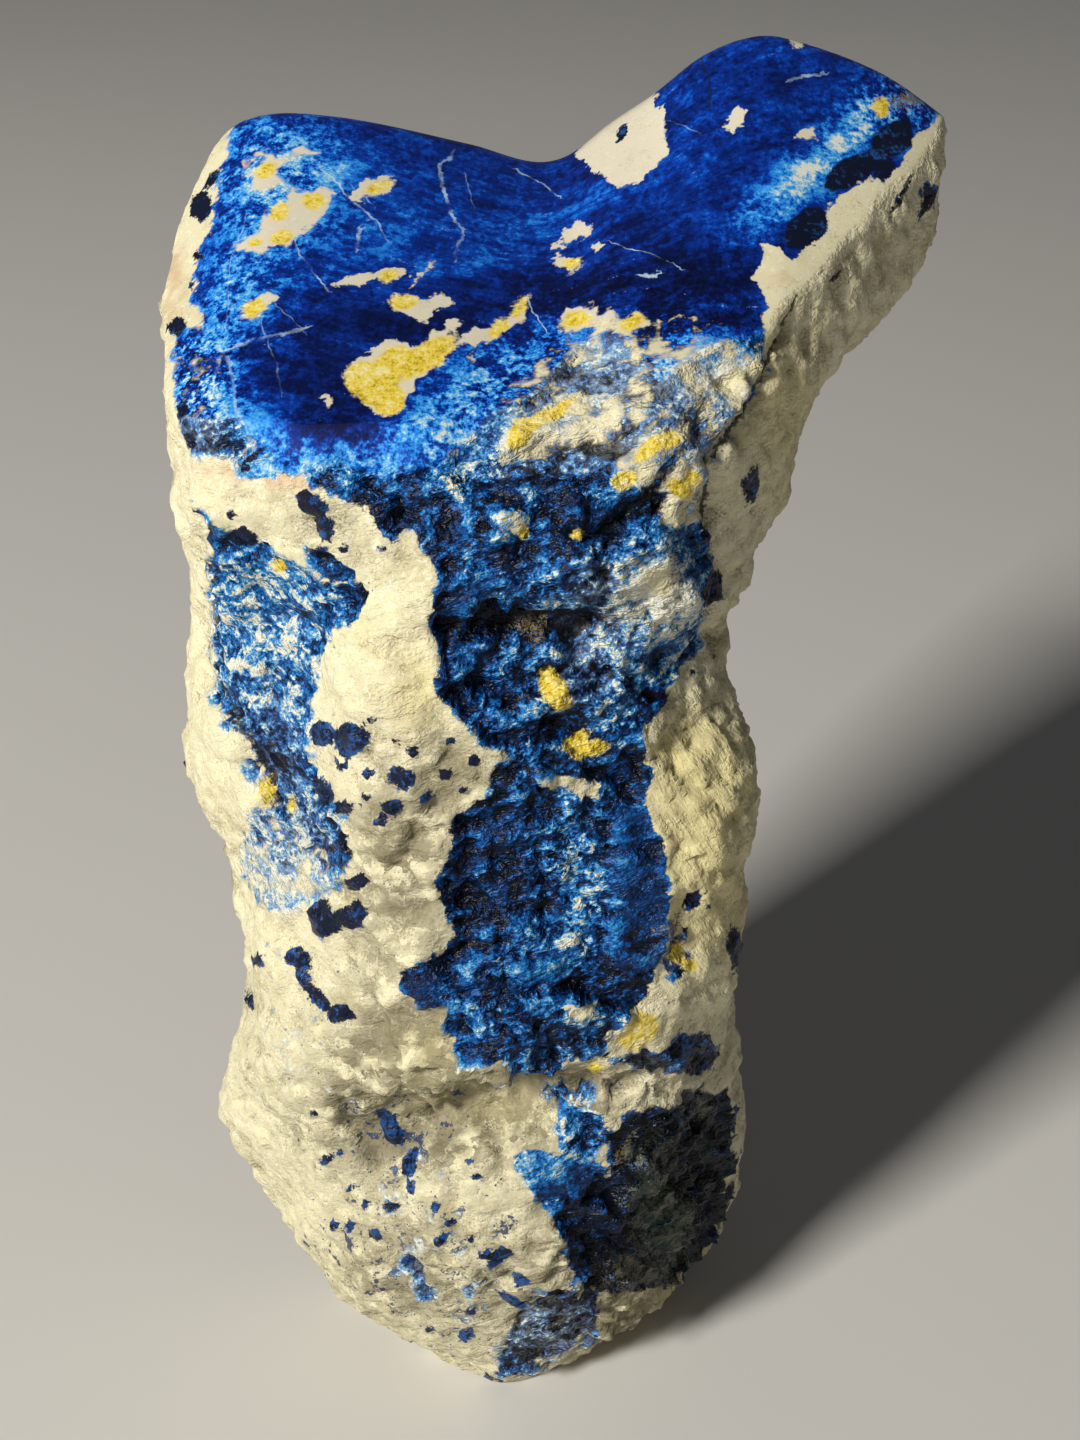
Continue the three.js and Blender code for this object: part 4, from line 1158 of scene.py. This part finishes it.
def stone_material(settings):
    """Calcite and lapis, rough on the sides and polished on top."""
    material = bpy.data.materials.new("calcite_and_lapis")
    material.use_nodes = True
    tree = material.node_tree
    shader = tree.nodes["Principled BSDF"]
    fields = read_fields(tree)
    mottle = fields["mottle"]

    # the grain: level leaves or steep fibres in the rough stone, sweeping streaks in the polish
    coordinates = add(tree, "ShaderNodeTexCoord", {}, "Object")
    place = add(tree, "ShaderNodeVectorMath", {0: coordinates, "Scale": 1 / MM}, operation="SCALE")
    leafy, fibrous = stretched(place, *LEAFY), stretched(place, *FIBROUS)
    x, y, z = split(place)
    aside = x - SWEEP_MIDDLE
    swept = joined(x * 0.16, aside * aside * SWEEP_BEND + y, z * 0.4)
    near_top = fields["vivid"] * ramp(fields["polish"], *POLISH_NEAR)
    flat = ramp(fields["polish"], *POLISH_FLAT)
    polished = larger(flat, near_top)
    vivid = larger(polished, fields["vivid"])
    level, steep = grain(leafy, *STREAK_GRAIN), grain(fibrous, *STREAK_GRAIN)
    leaves = mixed(fields["fibres"], level, steep, "FLOAT")
    streak = mixed(polished, leaves, grain(swept, *STREAK_GRAIN), "FLOAT")
    cloud, fine = grain(place, *CLOUD_GRAIN), grain(place, *FINE_GRAIN)

    # small blocks, each with a face that leans its own way and a shade of its own
    sway = joined(leaves * 2.0, cloud * 2.0, mottle * 3.0 + cloud * 0.8)
    bent = vectors("MULTIPLY_ADD", leafy, (0.62, 0.62, 0.62), sway)
    block = vectors("FLOOR", bent)
    lot = add(tree, "ShaderNodeTexWhiteNoise", {"Vector": block}, "Color")
    lean = vectors("SUBTRACT", lot, (0.5, 0.5, 0.5))
    faces = vectors("DOT_PRODUCT", vectors("SUBTRACT", bent, block), lean, output="Value")
    shade = split(lean)[0]

    patch = ramp(cloud * 0.35 + mottle, -0.10, 0.10) - 0.5
    mixture = cloud * 0.95 + (fine * 0.6 + patch * 0.36)
    lapis, blue = blue_stone(fields, vivid, streak, mixture, cloud, shade)
    stone = mixed(blue, pale_stone(settings, fields, streak, cloud, fine, shade), lapis)

    # brown speckle, yellow and dark blobs
    edge = fine * 0.4 + cloud * 1.2
    mossy = mixed(ramp(mottle + streak, -0.15, 0.15), TEAL, OLIVE)
    earthy = mixed(ramp(fields["tone"], 0.05, 0.25), mossy, UMBER)
    brown = fine * 7.0 + (mottle * 8.0 + fields["brown"])
    stone = mixed(ramp(brown, 0.2, 1.2) * 0.85, stone, earthy)
    yellow = ramp(mottle * 2.2 + (fields["yellow"] + edge), -0.35, 0.25)
    golden = cloud * 1.3 + (fine * 0.9 + (mottle * 0.9 + 0.5))
    dull_gold = tuple(0.55 * part for part in settings.yellow)
    gold = colours(golden, ((0.16, dull_gold), (0.42, settings.yellow), (0.66, PALE_GOLD), (0.92, STRAW)))
    stone = mixed(yellow, stone, gold)
    dark = ramp(fields["dark"] + edge, -0.12, 0.12)
    inky = fields["flecks"] * 0.12 + (shade * 0.2 + (cloud + streak))
    stone = mixed(dark, stone, mixed(ramp(inky, 0.08, 0.34), settings.dark, INK_BLUE))

    # thin lines and glints
    jitter = cloud * 5.0
    veins = larger(line_mask(fields, "vein", jitter), line_mask(fields, "cross", jitter) * 0.6)
    veins = veins * ramp(mottle, -0.16, 0.14)
    glints = ramp(fine * 0.5 + streak, 0.24, 0.29)
    stone = mixed(larger(glints * 0.4, veins * 0.75) * vivid, stone, settings.vein)
    # dark lines: cracks, and painted shadow along creases and shaded edges
    stone = mixed(line_mask(fields, "crack_and_shadow", jitter) * 0.85, stone, CRACK_AND_SHADOW)

    # finish: satin on the polish, matt on its rim, and half gloss on the rough blue
    glossy = larger(blue, dark)
    rough_shine = glossy * (1.0 - near_top) * -0.42 + 0.78
    on_blue = ramp(fields["blue"], -0.4, 0.4)
    height = faces * (on_blue * 0.2 + 0.45) + leaves * (on_blue * 1.2 + 0.6)
    fill(shader, {
        "Base Color": stone,
        "Roughness": mixed(flat, rough_shine, cloud * 0.20 + 0.27, "FLOAT"),
        "IOR": 1.5,
        "Specular IOR Level": (1.0 - flat) * (glossy * -0.16) + 0.36,
        "Normal": add(tree, "ShaderNodeBump", {
            "Height": height, "Strength": polished * -0.98 + 1.0, "Distance": MM}),
    })
    return material


def floor_material(colour):
    """Plain matt paper."""
    material = bpy.data.materials.new("pale_floor")
    material.use_nodes = True
    tree = material.node_tree
    coordinates = add(tree, "ShaderNodeTexCoord", {}, "Object")
    cloud = add(tree, "ShaderNodeTexNoise", {"Vector": coordinates, "Scale": 6.0, "Detail": 1.0})
    shade = mixed(cloud, colour, [0.96 * part for part in colour])
    fill(tree.nodes["Principled BSDF"], {"Base Color": shade, "Roughness": 1.0, "Specular IOR Level": 0.0})
    return material


# ---------------------------------------------------------------------------------------------------------
# Operators


class MESH_OT_lapis_stone(bpy.types.Operator):
    """Adds the stone: rough calcite and lapis with a polished top"""

    bl_idname = "mesh.lapis_stone"
    bl_label = "Lapis stone"

    def execute(self, context):
        settings = context.scene.lapis_stone
        stone = bpy.data.objects.new(STONE_PIECE, stone_mesh(settings))
        context.scene.collection.objects.link(stone)
        stone.data.materials.append(stone_material(settings))
        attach(stone, "root")
        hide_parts(STONE_NODE)
        return {"FINISHED"}


class SCENE_OT_lapis_stage(bpy.types.Operator):
    """Adds the floor, the soft light and the camera"""

    bl_idname = "scene.lapis_stage"
    bl_label = "Stage"

    def execute(self, context):
        settings = context.scene.lapis_stage
        scene = context.scene
        bm = bmesh.new()
        bmesh.ops.create_grid(bm, x_segments=4, y_segments=4, size=settings.floor_size / 2)
        mesh = bpy.data.meshes.new("floor")
        bm.to_mesh(mesh)
        bm.free()
        mesh.materials.append(floor_material(settings.floor))
        floor = bpy.data.objects.new("floor", mesh)
        scene.collection.objects.link(floor)

        lamp = bpy.data.lights.new("key", "AREA")
        lamp.size = KEY_SIZE
        lamp.energy = settings.key
        lamp.color = KEY_COLOUR
        key = bpy.data.objects.new("key", lamp)
        key.location = KEY_PLACE
        towards = Vector(KEY_TARGET) - Vector(KEY_PLACE)
        key.rotation_euler = towards.to_track_quat("-Z", "Y").to_euler()
        scene.collection.objects.link(key)

        world = bpy.data.worlds.new("studio")
        world.use_nodes = True
        fill(world.node_tree.nodes["Background"], {"Color": WORLD_COLOUR, "Strength": settings.fill})
        scene.world = world

        camera = bpy.data.cameras.new("camera")
        camera.lens = LENS
        camera.sensor_fit = "VERTICAL"
        camera.sensor_height = SENSOR_HEIGHT
        camera.clip_start = 0.01
        eye = bpy.data.objects.new("camera", camera)
        eye.location = EYE * MM
        eye.rotation_euler = (math.radians(90) - EYE_TILT, 0, 0)
        scene.collection.objects.link(eye)
        scene.camera = eye
        scene.view_settings.view_transform = "Standard"
        return {"FINISHED"}


class VIEW3D_PT_lapis(bpy.types.Panel):
    """Lists the stone's operators and settings."""

    bl_idname = "VIEW3D_PT_lapis"
    bl_label = "Rough lapis lazuli"
    bl_space_type = "VIEW_3D"
    bl_region_type = "UI"
    bl_category = "Stone"

    def draw(self, context):
        layout = self.layout
        for operator, settings in (
            (MESH_OT_lapis_stone, context.scene.lapis_stone),
            (SCENE_OT_lapis_stage, context.scene.lapis_stage),
        ):
            box = layout.box()
            box.operator(operator.bl_idname)
            for name in settings.__annotations__:
                box.prop(settings, name)


CLASSES = (StoneSettings, StageSettings, MESH_OT_lapis_stone, SCENE_OT_lapis_stage, VIEW3D_PT_lapis)


def register():
    for cls in CLASSES:
        bpy.utils.register_class(cls)
    bpy.types.Scene.lapis_stone = bpy.props.PointerProperty(type=StoneSettings)
    bpy.types.Scene.lapis_stage = bpy.props.PointerProperty(type=StageSettings)


def unregister():
    del bpy.types.Scene.lapis_stage
    del bpy.types.Scene.lapis_stone
    for cls in reversed(CLASSES):
        bpy.utils.unregister_class(cls)


def main():
    register()
    bpy.ops.mesh.lapis_stone()
    bpy.ops.scene.lapis_stage()


if __name__ == "__main__":
    main()
